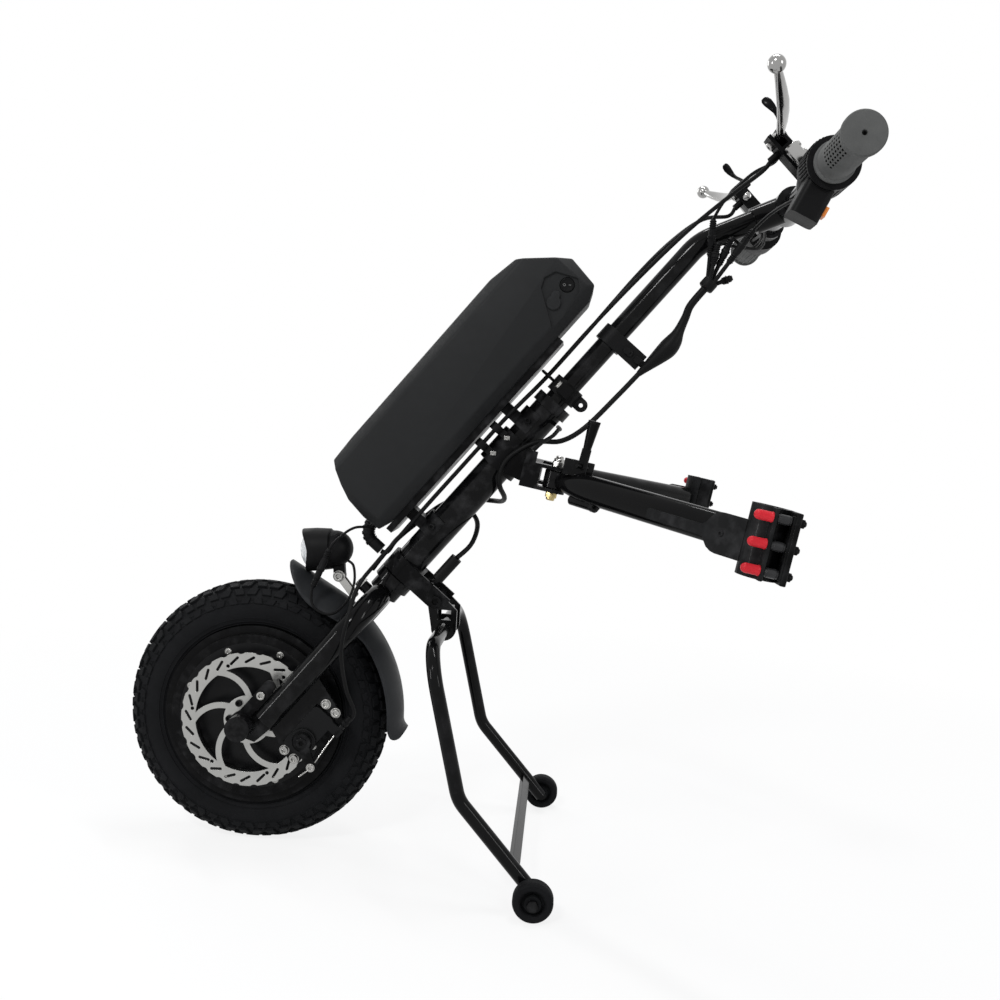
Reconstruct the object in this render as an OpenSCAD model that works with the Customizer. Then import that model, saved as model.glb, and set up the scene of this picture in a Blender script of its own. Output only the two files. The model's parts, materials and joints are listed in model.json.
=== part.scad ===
// Front-wheel power assist for a manual wheelchair, parked on its stand.
// +X points back to the rider, +Y to the rider's right and +Z up, in millimetres.

/* [Wheel] */
// Outer radius of the tyre over its tread
tyre_r = 159; // [154:1:164]
// Radius of the tyre's round section
tyre_section_r = 29.5; // [28:0.5:31]
// Height of the tread blocks
tread_h = 3.5; // [2:0.5:5]
// Thickness of the tyre's wall
tyre_wall = 5; // [4:0.5:7]
// Radius of the rim's flange
rim_r = 107.5; // [105:0.5:109]
// Half width over the rim's flanges
rim_half_w = 30; // [28:0.5:32]
// Half width over the motor's covers
hub_half_w = 36; // [34:0.5:38]
// Radius of the motor's covers
cover_r = 88; // [84:0.5:92]
// Radius of the axle
axle_r = 7; // [6:0.25:8]
// Radius of the brake disc
rotor_r = 80; // [76:0.5:82]
// Thickness of the brake disc
rotor_t = 2; // [1.5:0.1:2.5]

/* [Frame] */
// Lean of the steering axis from upright
head_lean = 39; // [37:0.5:41]
// Distance of the axle in front of the steering axis
fork_offset = 16; // [13:0.5:19]
// Outer radius of the head tube
head_tube_r = 19; // [18:0.25:21]
// Wall of the head tube
head_tube_wall = 2.5; // [1.5:0.25:3]
// Lower end of the head tube, measured from the axle along the steering axis
head_low = 238; // [236:1:246]
// Length of the head tube
head_len = 268; // [260:1:276]
// Height of each headset cup
cup_h = 13; // [11:0.5:14]

/* [Fork] */
// Radius of the fork legs
leg_r = 14; // [12:0.5:15]
// Distance of each leg from the middle
leg_y = 70; // [69:0.5:74]
// Height of the crown above the axle, along the steering axis
crown_z = 208; // [204:1:212]
// Bend radius of the crown
crown_bend_r = 54; // [48:1:58]
// Radius of the steerer tube
steerer_r = 14.3; // [13.8:0.1:15]

/* [Stem and bar] */
// Radius of the stem tube
stem_r = 12.7; // [11.5:0.1:13]
// Height of the stem's bend above the axle, along the steering axis
stem_bend_z = 766; // [740:2:790]
// Angle of the stem's bend
stem_bend = 26.5; // [20:0.5:32]
// Length from the bend to the handlebar
stem_reach = 110; // [100:1:125]
// Radius of the handlebar
bar_r = 11.1; // [10.5:0.1:12]
// Half length of the handlebar over its grips
bar_half = 310; // [295:1:330]
// Length of each grip
grip_len = 104; // [98:1:110]
// Radius of the grip
grip_r = 18; // [16:0.5:19]
// Angle of the brake levers above level
lever_rise = 45; // [35:1:55]

/* [Arms] */
// Slope of the arms down to the back
arm_tilt = 10; // [8:0.5:12]
// Angle of each arm out from straight back
arm_splay = 46; // [40:1:52]
// Length of each arm from its pin
arm_len = 262; // [252:1:275]
// Half height of the arm's oval section
arm_half_h = 16; // [14.5:0.5:17.5]
// Half width of the arm's oval section
arm_half_w = 11; // [10:0.5:12]
// Distance of each arm's pin from the middle
pin_y = 55; // [52:1:60]
// Radius of the arm pins
pin_r = 5; // [4:0.25:6]
// Radius of the wheelchair tube in the clamp
clamp_bore_r = 12.7; // [11:0.1:14]
// Height of the clamp
clamp_h = 72; // [68:1:80]

/* [Stand] */
// Radius of the stand tube
stand_r = 8; // [7:0.25:9]
// Distance of each stand leg from the middle
stand_y = 150; // [144:1:158]
// Length of the upper legs
stand_leg = 164; // [156:1:170]
// Lean of the upper legs
stand_lean = 14; // [11:0.5:17]
// Lean of the lower legs
stand_low_lean = 42; // [38:0.5:46]
// Bend radius under the cross tube
stand_bend_r = 45; // [40:1:52]
// Radius of the stand rollers
roller_r = 22; // [19:0.5:24]
// Width of the stand rollers
roller_w = 20; // [16:0.5:22]

/* [Battery] */
// Length of the battery
battery_len = 384; // [370:1:396]
// Height of the battery away from the tube
battery_h = 102; // [94:1:110]
// Width of the battery
battery_w = 90; // [82:1:98]
// Gap between the head tube's axis and the battery
battery_off = 47; // [45:0.5:52]
// Lower end of the battery, measured from the axle along the steering axis
battery_low = 268; // [264:1:276]

/* [Hidden] */
$fn = 64;

// Fits and clearances
fit = 0.05;
gap = 0.4;
play = 1;
over = 2;

// Steering axis: a point on it beside the axle, in the upright frame with the axle over x = 0
axis_x = fork_offset * cos(head_lean);
axis_z = tyre_r - fork_offset * sin(head_lean);
function up_x(x, z) = axis_x + x * cos(head_lean) + z * sin(head_lean);
function up_z(x, z) = axis_z - x * sin(head_lean) + z * cos(head_lean);

head_top = head_low + head_len;
cup_wall = 4;
cup_r = head_tube_r + cup_wall;
cup_spigot = 10;
head_bore_r = head_tube_r - head_tube_wall;

// Handlebar place
bar_lx = stem_reach * sin(stem_bend);
bar_lz = stem_bend_z + stem_reach * cos(stem_bend);
bar_x = up_x(bar_lx, bar_lz);
bar_z = up_z(bar_lx, bar_lz);
grip_flange = 2.5;
grip_flange_r = grip_r + grip_flange;
centre_x = (bar_x + grip_flange_r - tyre_r) / 2;

// Brake disc and fork leg ends
rotor_y = 52;
rotor_boss_r = 26;
rotor_bolt_ring_r = 22;
rotor_bolt_r = 2.5;
rotor_bolt_head_r = 4;
rotor_bolt_head_h = 3;
rotor_bolts = 6;
leg_end = 22;
dropout_t = 6;
dropout_r = 16;
dropout_y = leg_y - dropout_t / 2;
axle_nut_r = 12;
axle_nut_h = 10;
axle_shoulder_r = 10;
axle_cap_wall = 2.5;
axle_cap_h = 19;
cap_floor = 2.5;

// Wheel
carcass_r = tyre_r - tread_h - tyre_section_r;
rim_depth = 6;
rim_seat_r = rim_r - rim_depth;
rim_flange_t = 4;
rim_step = 3.5;
bead_w = 8;
cover_t = 7;
cover_seat = 10;
hub_bore_r = cover_r - cover_seat;
cover_ring = 2;
cover_ring_shares = [0.76, 0.83];
screw_ring_share = 0.93;
screw_r = 2;
screw_head_r = 3.4;
screw_head_h = 2.5;
screw_len = 12;
cover_screws = 8;
screw_turn = 22.5;
tread_count = 40;
tread_row_turns = [-58, -29, 0, 29, 58];
tread_block_w = 11;
tread_fill_share = 0.62;
tread_sink = 1.5;

// Brake disc pattern
rotor_band = 17;
rotor_hub_w = 11;
rotor_arms = 6;
rotor_arm_w = 7;
rotor_arm_bow_share = 0.62;
rotor_arm_turn = 38;
rotor_slots = 24;
rotor_slot_l = 11;
rotor_slot_w = 3.2;
rotor_slot_turn = 58;
rotor_hole_r = 2.2;
rotor_waves = 24;
rotor_wave_r = 7;
rotor_wave_depth = 1.6;

// Lower leg ends and caliper, in the steering frame
cal_x = 47;
cal_z = 46;
cal_w = 30;
cal_h = 60;
cal_out = 20;
cal_in = 9;
cal_slot = 3.6;
cal_corner = 6;
cal_piston_x = 49;
cal_piston_z = 34;
cal_piston_r = 15;
cal_piston_t = 3;
cal_stub_r = 4;
cal_arm_t = 4;
cal_arm_reach = 31;
cal_arm_turn = 29;
cal_arm_r = 10;
cal_arm_tip_r = 6;
cal_lug_x = 66;
cal_lug_z = 69;
cal_lug_w = 20;
cal_lug_h = 11;
cal_lug_t = 8;
cal_barrel_r = 4;
cal_barrel_len = 26;
cal_barrel_x = 71;
tab_t = 6;
tab_y = 61;
tab_rim = 14;
tab_hole_in = 8;
tab_bolt_r = 3;
tab_bolt_head_r = 5;
tab_bolt_head_h = 4;
torque_w = 14;
torque_len = 56;
torque_t = 3;
torque_x = 22;
torque_lug = 14;

// Fender
fender_gap = 3;
fender_half_w = 36;
fender_rise = 15;
fender_t = 2.5;
fender_front = 60;
fender_lip = 66;
fender_tip_r = fender_half_w + over;
fender_tail_r = 30;
fender_tail_turn = 50;
fender_post_r = 8;
crown_pad_r = 11;
crown_pad = 4;

// Headlight
lamp_x = 55;
lamp_z = 358.5;
lamp_pitch = 6;
lamp_r = 26;
lamp_ring = 8;
lamp_len = 29;
lamp_back_r = 22;
lamp_wall = 2.5;
lamp_brim = 9;
lamp_lens_t = 4;
lamp_lens_seat = 2;
lamp_tab_x = 33;
lamp_tab_r = 7;
lamp_tab_drop = 40;
lamp_tab_t = 8;
lamp_strip_t = 2.5;
lamp_strip_w = 16;
lamp_boss_len = 24;
lamp_boss_r = 7;
lamp_boss_z = 200;
lamp_foot = 16;
lamp_bolt_r = 3;
lamp_bolt_head_r = 6;
lamp_bolt_head_h = 5;

// Stem collar, cable guide and harness
steerer_top = 540;
race_h = 14;
stem_depth = 340;
stem_neck_r = 15.5;
stem_neck = 44;
stem_turn_r = 60;
bar_clamp_r = 19;
bar_clamp_w = 44;
bar_wall = 2;
collar_low = 526;
collar_h = 20;
collar_wall = 4.7;
collar_tab_r = 8;
collar_tab_x = 25;
collar_tab_t = 8;
collar_hole_r = 2.5;
collar_lug = 9;
collar_lug_w = 16;
guide_x = 27;
guide_y = 6;
guide_r = 8;
guide_wire_r = 1.7;
band_z = 608;
band_h = 20;
band_wall = 4;
band_plate_t = 4;
band_reach = 44;
band_screw_r = 4.5;
band_screw_h = 3;
plug_x = 50;
plug_y = 18;

// Left switch, throttle and brake brackets
switch_len = 46;
switch_in = bar_half - grip_len - switch_len;
switch_r = 26;
switch_flutes = 14;
switch_flute_w = 3;
switch_flute_d = 1.2;
switch_rim = 6;
switch_turn = 115;
switch_box_w = 38;
switch_box_d = 30;
switch_box_l = 56;
slider_w = 14;
slider_h = 10;
slider_t = 5;
slider_travel = 6;
slider_floor = 2;
button_r = 4;
button_h = 5;
button_travel = 2;
throttle_len = 46;
throttle_in = bar_half - grip_len - throttle_len;
throttle_r = 22;
throttle_rib = 1;
throttle_ribs = 18;
bracket_step = 38;
bracket_y = switch_in - bracket_step;
bracket_w = 22;
bracket_r = 16;
bracket_h = 16;
bracket_end = 67;
lever_pivot_x = 58;
lever_ball_r = 8.5;
lever_tip_x = 100;
lever_len = 140;
lever_blade_w = 14;
lever_blade_t = 4.5;
lever_hub_r = 8;
lever_hub_h = 7;
lever_pin_r = 3;
lever_slot = 8;
cable_port_r = 4;
cable_port_l = 10;
cable_port_x = 47;
lock_x = 60;
lock_in = 10;
lock_y = bracket_y - lock_in;
lock_t = 3;
lock_w = 6;
lock_reach = 32;
lock_hook = 13;
lock_pin_r = 2.5;

// Yoke, arms and clamps
pin_lx = 60;
pin_lz = 453;
yoke_low = 414;
yoke_h = 45;
yoke_wall = 5.5;
yoke_half_w = 24;
beam_x = 18;
beam_d = 20;
beam_half_h = 14.6;
beam_end = 14;
lug_t = 4;
lug_r = 14;
eye_half_h = beam_half_h - lug_t - gap;
eye_r = 12.5;
arm_start = 20;
groove_d = 2;
groove_w = 2.4;
groove_step = 6.5;
groove_len = 110;
arm_plug = 3;
arm_plug_in = 1.5;
nut_r = 7.5;
nut_h = 6;
plate_t = 5;
plate_back = 104;
plate_from = arm_len - plate_back;
plate_strip = 11;
plate_strip_z = -10;
clamp_out = 30;
clamp_x = arm_len + clamp_out;
plate_wide_l = 52;
plate_wide_from = clamp_x - plate_wide_l;
plate_wide_h = 40;
plate_wide_z = -3;
plate_round = 10;
plate_hole_r = 2.5;
plate_hole_back = 8;
plate_hole_x = arm_len - plate_hole_back;
clamp_wall = 6.5;
clamp_gap = 1.2;
clamp_flange = 14;
clamp_flange_t = 5;
clamp_rear_t = 6;
clamp_reach = 20;
clamp_bolt_r = 3;
clamp_bolt_step = 25;
clamp_bolt_y = 25;
clamp_nut_h = 5;
clamp_nut_r = 4.6;
clamp_head_h = 4;
red_cap_r = 5.6;
red_cap_l = 20;
clevis_len = 26;
clevis_h = 13;
clevis_half_w = 8;
clevis_slot = 6;
clevis_pin_r = 3;
clevis_pin_x = 38;
lever_bar_w = 9;
lever_bar_h = 20;
lever_grip_h = 32;
lever_grip_r = 4.5;
lever_grip_top_r = 7;
lever_lean = 3;
plunger_r = 6;
plunger_l = 40;
plunger_tip_r = 3;
plunger_tip_l = 4;
stop_w = 12;
stop_h = 12;

// Stand
bracket_plate_in = 22;
bracket_plate_t = 4;
bracket_low = 240;
bracket_plate_h = 23;
bracket_reach = 66;
bracket_wall = 4;
bracket_cut = 14;
pivot_lx = 54;
pivot_lz = 250;
stand_bolt_r = 4;
stand_bolt_head_r = 7.5;
stand_bolt_head_h = 5;
hanger_t = 3.5;
hanger_r = 10;
hanger_back = 11;
hanger_drop = 32;
hanger_w = 30;
hanger_bar = 7;
stand_turn_r = 40;
brace_w = 12;
brace_t = 6;
brace_up = 34;
roller_hub_r = 9;
roller_tread_r = 5;
roller_bolt_r = 4;
roller_bolt_head_r = 6.5;
roller_bolt_head_h = 4;
roller_gap = 1;
stand_stub_r = 6.5;
pivot_x = up_x(pivot_lx, pivot_lz);
pivot_z = up_z(pivot_lx, pivot_lz);
cross_x = pivot_x + hanger_back;
cross_z = pivot_z - hanger_drop;
knee_x = cross_x + stand_leg * sin(stand_lean);
knee_z = cross_z - stand_leg * cos(stand_lean);
low_len = (knee_z - roller_r) / cos(stand_low_lean);
foot_x = knee_x + low_len * sin(stand_low_lean);

// Battery
battery_chamfer = 13;
rail_t = 8;
rail_w = 58;
rail_len = 300;
rail_low = 276;
saddle_h = 26;
saddle_wall = 4;
saddle_places = [300, 468];
post_w = 26;
post_h = 14;
saddle_screw_r = 4;
saddle_screw_h = 4;
saddle_screw_x = 9;
recess_d = 2.5;
recess_len = 80;
rocker_x = 78;
rocker_down = 27;
rocker_z = battery_low + battery_len - rocker_down;
rocker_r = 8;
rocker_t = 3;
rocker_swing = 1.6;
rocker_rim = 1.5;
port_x = 76;
port_down = 52;
port_z = battery_low + battery_len - port_down;
port_r = 8;
port_hinge_r = 5;
port_hinge_x = 4;
port_hinge_step = 8;
port_t = 2.5;
clip_places = [420, 446];
clip_x = 30;
clip_y = 19;
clip_r = 7.6;
clip_wall = 1.8;
clip_h = 9;

// Cords: radii and hand-laid routes in the steering frame
cable_r = 2.4;
lead_r = 3;
wire_r = 1.8;
boot_r = 7;
boot_rib = 1;
boot_ribs = 5;
brake_left_route = [[1, -118, 851], [1, -116, 838], [-8, -76, 808], [-18, -38, 760], [-24, -22, 690],
  [-27, -14, 610], [-27, -9, 536], [-29, -23, 484], [-30, -22, 456], [-30, -22, 420], [-30, -22, 330],
  [-29, -23, 270], [-28, -36, 240], [-24, -66, 212], [-8, -92, 184], [12, -94, 150], [44, -82, 118],
  [71, -68, 98], [71, -68, 79]];
brake_right_route = [[1, 118, 851], [1, 116, 838], [-18, 70, 804], [-26, 16, 750], [-28, -10, 690],
  [-27, -8, 610], [-27, -3, 536], [-29, -17, 484], [-30, -16, 456], [-30, -16, 420], [-30, -16, 330],
  [-29, -16, 270], [-28, -24, 246], [-26, -34, 230]];
harness_route = [[50, -18, 607], [49, -20, 570], [46, -24, 520], [36, -30, 490], [16, -36, 470],
  [5, -38, 440], [7, -38, 420], [18, -32, 404], [31, -12, 396], [32, 10, 388], [22, 29, 378],
  [2, 36, 362], [-18, 33, 336], [-27, 27, 296], [-31, 16, 266], [-29, 5, 252], [-31, 1, 247],
  [-35, 0, 246]];
motor_route = [[6, 31, 352], [24, 20, 350], [34, 2, 342], [40, -14, 326], [38, -26, 306]];
motor_tail_route = [[38, -26, 272], [38, -24, 268], [34, -12, 262], [30, -3, 256], [26, 0, 251]];
release_route = [[20, -63, 462], [21, -60, 474], [25, -44, 488], [25, -26, 497], [26, -8, 499],
  [22, 12, 499]];
light_route = [[-56.3, -5, 211.1], [-47, -7, 211], [-33, -15, 199], [-24, -25, 181], [-24, -42, 164],
  [-34, -45, 154], [-50, -45, 153], [-63, -43, 166], [-69, -39, 188], [-80, -37, 216], [-79, -33, 239],
  [-75, -27, 251], [-68, -20, 258], [-64, -16, 263], [-64, -16, 268.4]];
left_lever_route = [[-6, -22, 792], [-10, -44, 812], [-6, -80, 840], [3, -98, 857], [4, -111, 860]];
switch_route = [[36, -26, 812], [38, -56, 830], [46, -110, 842], [54, -148, 841], [55, -159.5, 840]];
throttle_route = [[16, -24, 776], [32, -16, 786], [48, 0, 800], [51, 30, 820], [48, 90, 842],
  [46, 146, 846], [46, 160, 846]];
right_lever_route = [[24, -24, 790], [42, -13, 794], [56, 6, 810], [50, 44, 834], [36, 90, 854],
  [24, 110, 860]];
connector_r = 7;

// Outlines, plugs and boots
guide_turn = asin(guide_y / guide_r);
lever_root_shares = [[-0.4, 0], [0.5, 0.28], [1.1, 0.28], [1, 0]];
lever_blade_shares = [[0.04, 0.22], [0.13, 0.4], [0.28, 0.58], [0.5, 0.76], [0.8, 0.93], [0.92, 0.98]];
lock_turn = 55;
plug_bulge = 5;
plug_waist_up = 47;
plug_neck_up = 68;
plug_knee_in = 10;
plug_knee_up = 96;
plug_top_up = 122;
plug_tail = [plug_x, -plug_y, band_z];
plug_waist = [plug_x + plug_bulge, -plug_y, band_z + plug_waist_up];
plug_neck = [plug_x, -plug_y, band_z + plug_neck_up];
plug_knee = [plug_x - plug_knee_in, -plug_y - over, band_z + plug_knee_up];
plug_top = [plug_x - plug_knee_in, -plug_y - over, band_z + plug_top_up];
plug_tail_r = 5;
plug_body_r = 11;
spare_out = 5;
spare_step = 4;
spare_up = 28;
plug_neck_r = 6;
plug_trunk_r = 4.5;
plug_joint = 0.5;
splitter_r = 9;
splitter_h = 12;
branch_r = 2.6;
branch_plug_r = 4.2;
branch_plug_share = 0.45;
branch_lap_share = 0.6;
branch_stub = 8;
branch_ring_share = 0.62;
// Each branch: its place round the splitter and the far end of its connector
branches = [[162, left_lever_route[0]], [234, throttle_route[0]], [90, right_lever_route[0]],
  [306, switch_route[0]], [18, plug_top + [plug_knee_in + spare_out, over - spare_step, spare_up]]];
boot_step = 19;
boot_start = [-battery_off - boot_step, 0, battery_low - gap / 2];
boot_turn_r = 16;
boot_drop = 4;
boot_end_x = -36;
battery_shares = [[0.05, 0.005], [0.28, 0], [0.54, 0.01], [0.97, 0.07], [0.99, 0.16], [1, 0.79],
  [0.93, 0.885], [0.47, 1], [0.08, 0.985], [0, 0.94], [0, 0.06]];
recess_shares = [[0.5, 0.614], [0.545, 0.48], [0.5, 0.312], [0.26, 0.168], [0.15, 0.288], [0.07, 0.96]];

// Places
module put() translate([-centre_x, 0, 0]) children();
module both() {
  children();
  mirror([0, 1, 0]) children();
}
module on_axle() put() translate([0, 0, tyre_r]) children();
module on_axis() put() translate([axis_x, 0, axis_z]) rotate([0, head_lean, 0]) children();
module on_bar() put() translate([bar_x, 0, bar_z]) children();
module on_lever(side) on_bar() mirror([0, side < 0 ? 1 : 0, 0]) rotate([0, lever_rise - 180, 0])
  children();
module on_switch() on_bar() rotate([0, switch_turn, 0]) children();
module on_yoke() put() translate([up_x(pin_lx, pin_lz), 0, up_z(pin_lx, pin_lz)]) rotate([0, arm_tilt, 0])
  children();
module on_arm(side) on_yoke() mirror([0, side < 0 ? 1 : 0, 0]) translate([0, pin_y, 0])
  rotate([0, 0, arm_splay]) children();
module on_caliper() on_axis() translate([cal_x, -rotor_y, cal_z]) children();
module on_lamp() put() translate([lamp_x, 0, lamp_z]) rotate([0, 90 - lamp_pitch, 0]) children();

// A flat outline in x and z, made t thick from y upwards
module slab(y, t) translate([0, y + t, 0]) rotate([90, 0, 0]) linear_extrude(t) children();
// A round bar along y, from y0 to y1
module bar_y(r, y0, y1) translate([0, y0, 0]) rotate([-90, 0, 0]) cylinder(r = r, h = y1 - y0);
// A round bar along x, from x0 to x1
module bar_x(r, x0, x1) translate([x0, 0, 0]) rotate([0, 90, 0]) cylinder(r = r, h = x1 - x0);
// A box from its two far corners
module block(a, b) translate(a) cube(b - a);
// A flat bar of width w from the origin along x, round at its far end
module tongue(l, w) {
  translate([0, -w / 2]) square([l, w]);
  translate([l, 0]) circle(w / 2);
}
// A box outline with four round corners
module round_square(w, h, r) {
  square([w - 2 * r, h], center = true);
  square([w, h - 2 * r], center = true);
  for (i = [-1, 1], j = [-1, 1]) translate([i * (w / 2 - r), j * (h / 2 - r)]) circle(r);
}
// An outline turned round the wheel's axle
module turned() rotate([-90, 0, 0]) rotate_extrude($fn = 128) children();

// A tube swept along a route, its points joined by smooth curves
function unit(v) = v / norm(v);
function curve(a, b, c, d, t) = ((2 * b) + (c - a) * t + (2 * a - 5 * b + 4 * c - d) * t * t
  + (3 * b - a - 3 * c + d) * t * t * t) / 2;
function smooth(p, n) = concat([for (i = [0:len(p) - 2], k = [0:n - 1])
  curve(p[max(i - 1, 0)], p[i], p[i + 1], p[min(i + 2, len(p) - 1)], k / n)], [p[len(p) - 1]]);
function tangent(p, i) = unit(p[min(i + 1, len(p) - 1)] - p[max(i - 1, 0)]);
function across(n, t) = unit(n - (n * t) * t);
function sides(p) = [for (i = 0, n = across([0.3, 1, 0.2], tangent(p, 0)); i < len(p);
  i = i + 1, n = i < len(p) ? across(n, tangent(p, i)) : n) n];
module swept(route, r, n, m) {
  p = smooth(route, n);
  s = sides(p);
  rings = [for (i = [0:len(p) - 1]) let (t = tangent(p, i), b = cross(t, s[i]))
    for (k = [0:m - 1]) p[i] + r * (cos(360 * k / m) * s[i] + sin(360 * k / m) * b)];
  last = len(p) - 1;
  polyhedron(rings, concat([[for (k = [0:m - 1]) k]],
    [for (i = [0:last - 1], k = [0:m - 1]) [i * m + k, (i + 1) * m + k, (i + 1) * m + (k + 1) % m,
      i * m + (k + 1) % m]],
    [[for (k = [m - 1:-1:0]) last * m + k]]));
}

// Wheel
module tyre() color("#191a1b") on_axle() {
  turned() difference() {
    union() {
      translate([carcass_r, 0]) circle(tyre_section_r);
      for (s = [-1, 1]) translate([rim_seat_r + fit, s > 0 ? rim_half_w - rim_flange_t - fit
        - bead_w : -rim_half_w + rim_flange_t + fit])
        square([rim_depth + bead_w, bead_w]);
    }
    translate([carcass_r, 0]) circle(tyre_section_r - tyre_wall);
    translate([0, -rim_half_w + rim_flange_t + fit + bead_w])
      square([carcass_r - bead_w, 2 * (rim_half_w - rim_flange_t - fit - bead_w)]);
    translate([0, -rim_half_w]) square([rim_seat_r + fit, 2 * rim_half_w]);
  }
  for (row = [0:len(tread_row_turns) - 1], i = [0:tread_count - 1])
    rotate([0, (i + (row % 2) / 2) * 360 / tread_count, 0]) tread_block(tread_row_turns[row]);
}
module tread_block(turn) rotate([-90, 0, 0]) rotate_extrude(angle = tread_fill_share * 360 / tread_count)
  translate([carcass_r, 0]) rotate(turn) translate([tyre_section_r - tread_sink, -tread_block_w / 2])
    square([tread_h + tread_sink - (abs(turn) > 0 ? tread_h * (1 - cos(turn)) : 0), tread_block_w]);

module hub_shell() color("#222324") on_axle() difference() {
  half = [[rim_seat_r, rim_half_w - rim_flange_t], [rim_r, rim_half_w - rim_flange_t],
    [rim_r, rim_half_w], [rim_seat_r - rim_step, rim_half_w], [rim_seat_r - rim_step, hub_half_w],
    [cover_r + fit, hub_half_w], [cover_r + fit, hub_half_w - cover_t],
      [hub_bore_r, hub_half_w - cover_t]];
  turned() polygon(concat(half, [for (i = [len(half) - 1:-1:0]) [half[i][0], -half[i][1]]]));
  cover_screw_places() cylinder(r = screw_r + fit, h = screw_len + over);
}
// Each cover screw's place: its axis points in from the cover's face
module cover_screw_places() for (s = [-1, 1], i = [0:cover_screws - 1])
  mirror([0, s < 0 ? 1 : 0, 0]) rotate([0, screw_turn + i * 360 / cover_screws, 0])
    translate([screw_ring_share * cover_r, hub_half_w, 0]) rotate([90, 0, 0]) children();

module hub_covers() color("#1b1c1c") on_axle() difference() {
  union() {
    for (s = [-1, 1]) turned() mirror([0, s < 0 ? 1 : 0]) {
      translate([axle_r + fit, hub_half_w - cover_t]) square([cover_r - axle_r - fit, cover_t]);
      translate([cover_ring_shares[0] * cover_r, hub_half_w])
        square([(cover_ring_shares[1] - cover_ring_shares[0]) * cover_r, cover_ring]);
    }
    turned() translate([axle_shoulder_r + play, -rotor_y + rotor_t / 2])
      square([rotor_boss_r - axle_shoulder_r - play, rotor_y - rotor_t / 2 - hub_half_w]);
  }
  cover_screw_places() translate([0, 0, -over]) cylinder(r = screw_r + fit, h = screw_len + 2 * over);
  rotor_bolt_places() cylinder(r = rotor_bolt_r + fit, h = screw_len);
}
// Each disc bolt's place: its axis points in from the disc's outer face
module rotor_bolt_places() for (i = [0:rotor_bolts - 1]) rotate([0, i * 360 / rotor_bolts, 0])
  translate([rotor_bolt_ring_r, -rotor_y - rotor_t / 2, 0]) rotate([-90, 0, 0]) children();

module wheel_screws() color("#c9cac8") on_axle() {
  cover_screw_places() {
    cylinder(r = screw_r, h = screw_len);
    translate([0, 0, -screw_head_h]) cylinder(r = screw_head_r, h = screw_head_h);
  }
  rotor_bolt_places() {
    cylinder(r = rotor_bolt_r, h = screw_len);
    translate([0, 0, -rotor_bolt_head_h]) cylinder(r = rotor_bolt_head_r, h = rotor_bolt_head_h);
  }
}

module rotor() color("#b9bab8") on_axle() slab(-rotor_y - rotor_t / 2, rotor_t)
  mirror([1, 0]) difference() {
  rotor_in = rotor_r - rotor_band;
  union() {
    difference() {
      circle(rotor_r, $fn = 128);
      circle(rotor_in, $fn = 128);
    }
    circle(rotor_boss_r + rotor_hub_w / 4);
    for (i = [0:rotor_arms - 1]) rotate(i * 360 / rotor_arms) rotor_arm(rotor_in);
  }
  circle(axle_shoulder_r + play);
  for (i = [0:rotor_bolts - 1]) rotate(i * 360 / rotor_bolts)
    translate([rotor_bolt_ring_r, 0]) circle(rotor_bolt_r + fit);
  for (i = [0:rotor_slots - 1]) rotate(i * 360 / rotor_slots) translate([rotor_r - rotor_band / 2, 0])
    rotate(rotor_slot_turn) translate([-rotor_slot_l / 2, 0]) {
      circle(rotor_slot_w / 2);
      tongue(rotor_slot_l, rotor_slot_w);
    }
  for (i = [0:rotor_arms - 1]) rotate(i * 360 / rotor_arms + 180 / rotor_slots)
    translate([rotor_in + 2 * rotor_hole_r, 0]) circle(rotor_hole_r);
  for (i = [0:rotor_waves - 1]) rotate((i + 1 / 2) * 360 / rotor_waves)
    translate([rotor_r + rotor_wave_r - rotor_wave_depth, 0]) circle(rotor_wave_r);
}
// One bowed arm from the disc's middle to its band
module rotor_arm(r_in) {
  bow_r = r_in * rotor_arm_bow_share;
  rotate(-rotor_arm_turn) intersection() {
    translate([bow_r, 0]) difference() {
      circle(bow_r + rotor_arm_w / 2);
      circle(bow_r - rotor_arm_w / 2);
    }
    square(rotor_r);
    circle(r_in + rotor_arm_w / 2);
  }
}

module axle() color("#8d8e8c") on_axle() {
  end = leg_y + dropout_t / 2 + torque_t + axle_nut_h;
  bar_y(axle_r, -end - axle_cap_h / 3, end + axle_cap_h / 3);
  both() {
    bar_y(axle_shoulder_r, hub_half_w + play, dropout_y);
    bar_y(axle_nut_r, end - axle_nut_h, end, $fn = 6);
  }
}
module axle_caps() color("#161717") on_axle() both() {
  start = leg_y + dropout_t / 2 + torque_t;
  difference() {
    bar_y(axle_nut_r + axle_cap_wall, start, start + axle_cap_h);
    bar_y(axle_nut_r + fit, start - over, start + axle_nut_h);
    bar_y(axle_r + fit, start, start + axle_cap_h - cap_floor);
  }
}

// Frame
module head_tube() color("#1c1d1e") on_axis() translate([0, 0, head_low]) difference() {
  cylinder(r = head_tube_r, h = head_len);
  translate([0, 0, -over]) cylinder(r = head_bore_r, h = head_len + 2 * over);
}
module headset_cups() color("#232425") on_axis() for (z = [head_low, head_top]) translate([0, 0, z])
  mirror([0, 0, z == head_low ? 1 : 0]) difference() {
    union() {
      cylinder(r = cup_r, h = cup_h);
      translate([0, 0, -cup_spigot]) cylinder(r = head_bore_r - fit, h = cup_spigot + fit);
    }
    translate([0, 0, -cup_spigot - over])
      cylinder(r = steerer_r + fit, h = cup_h + cup_spigot + 2 * over);
  }

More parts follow.
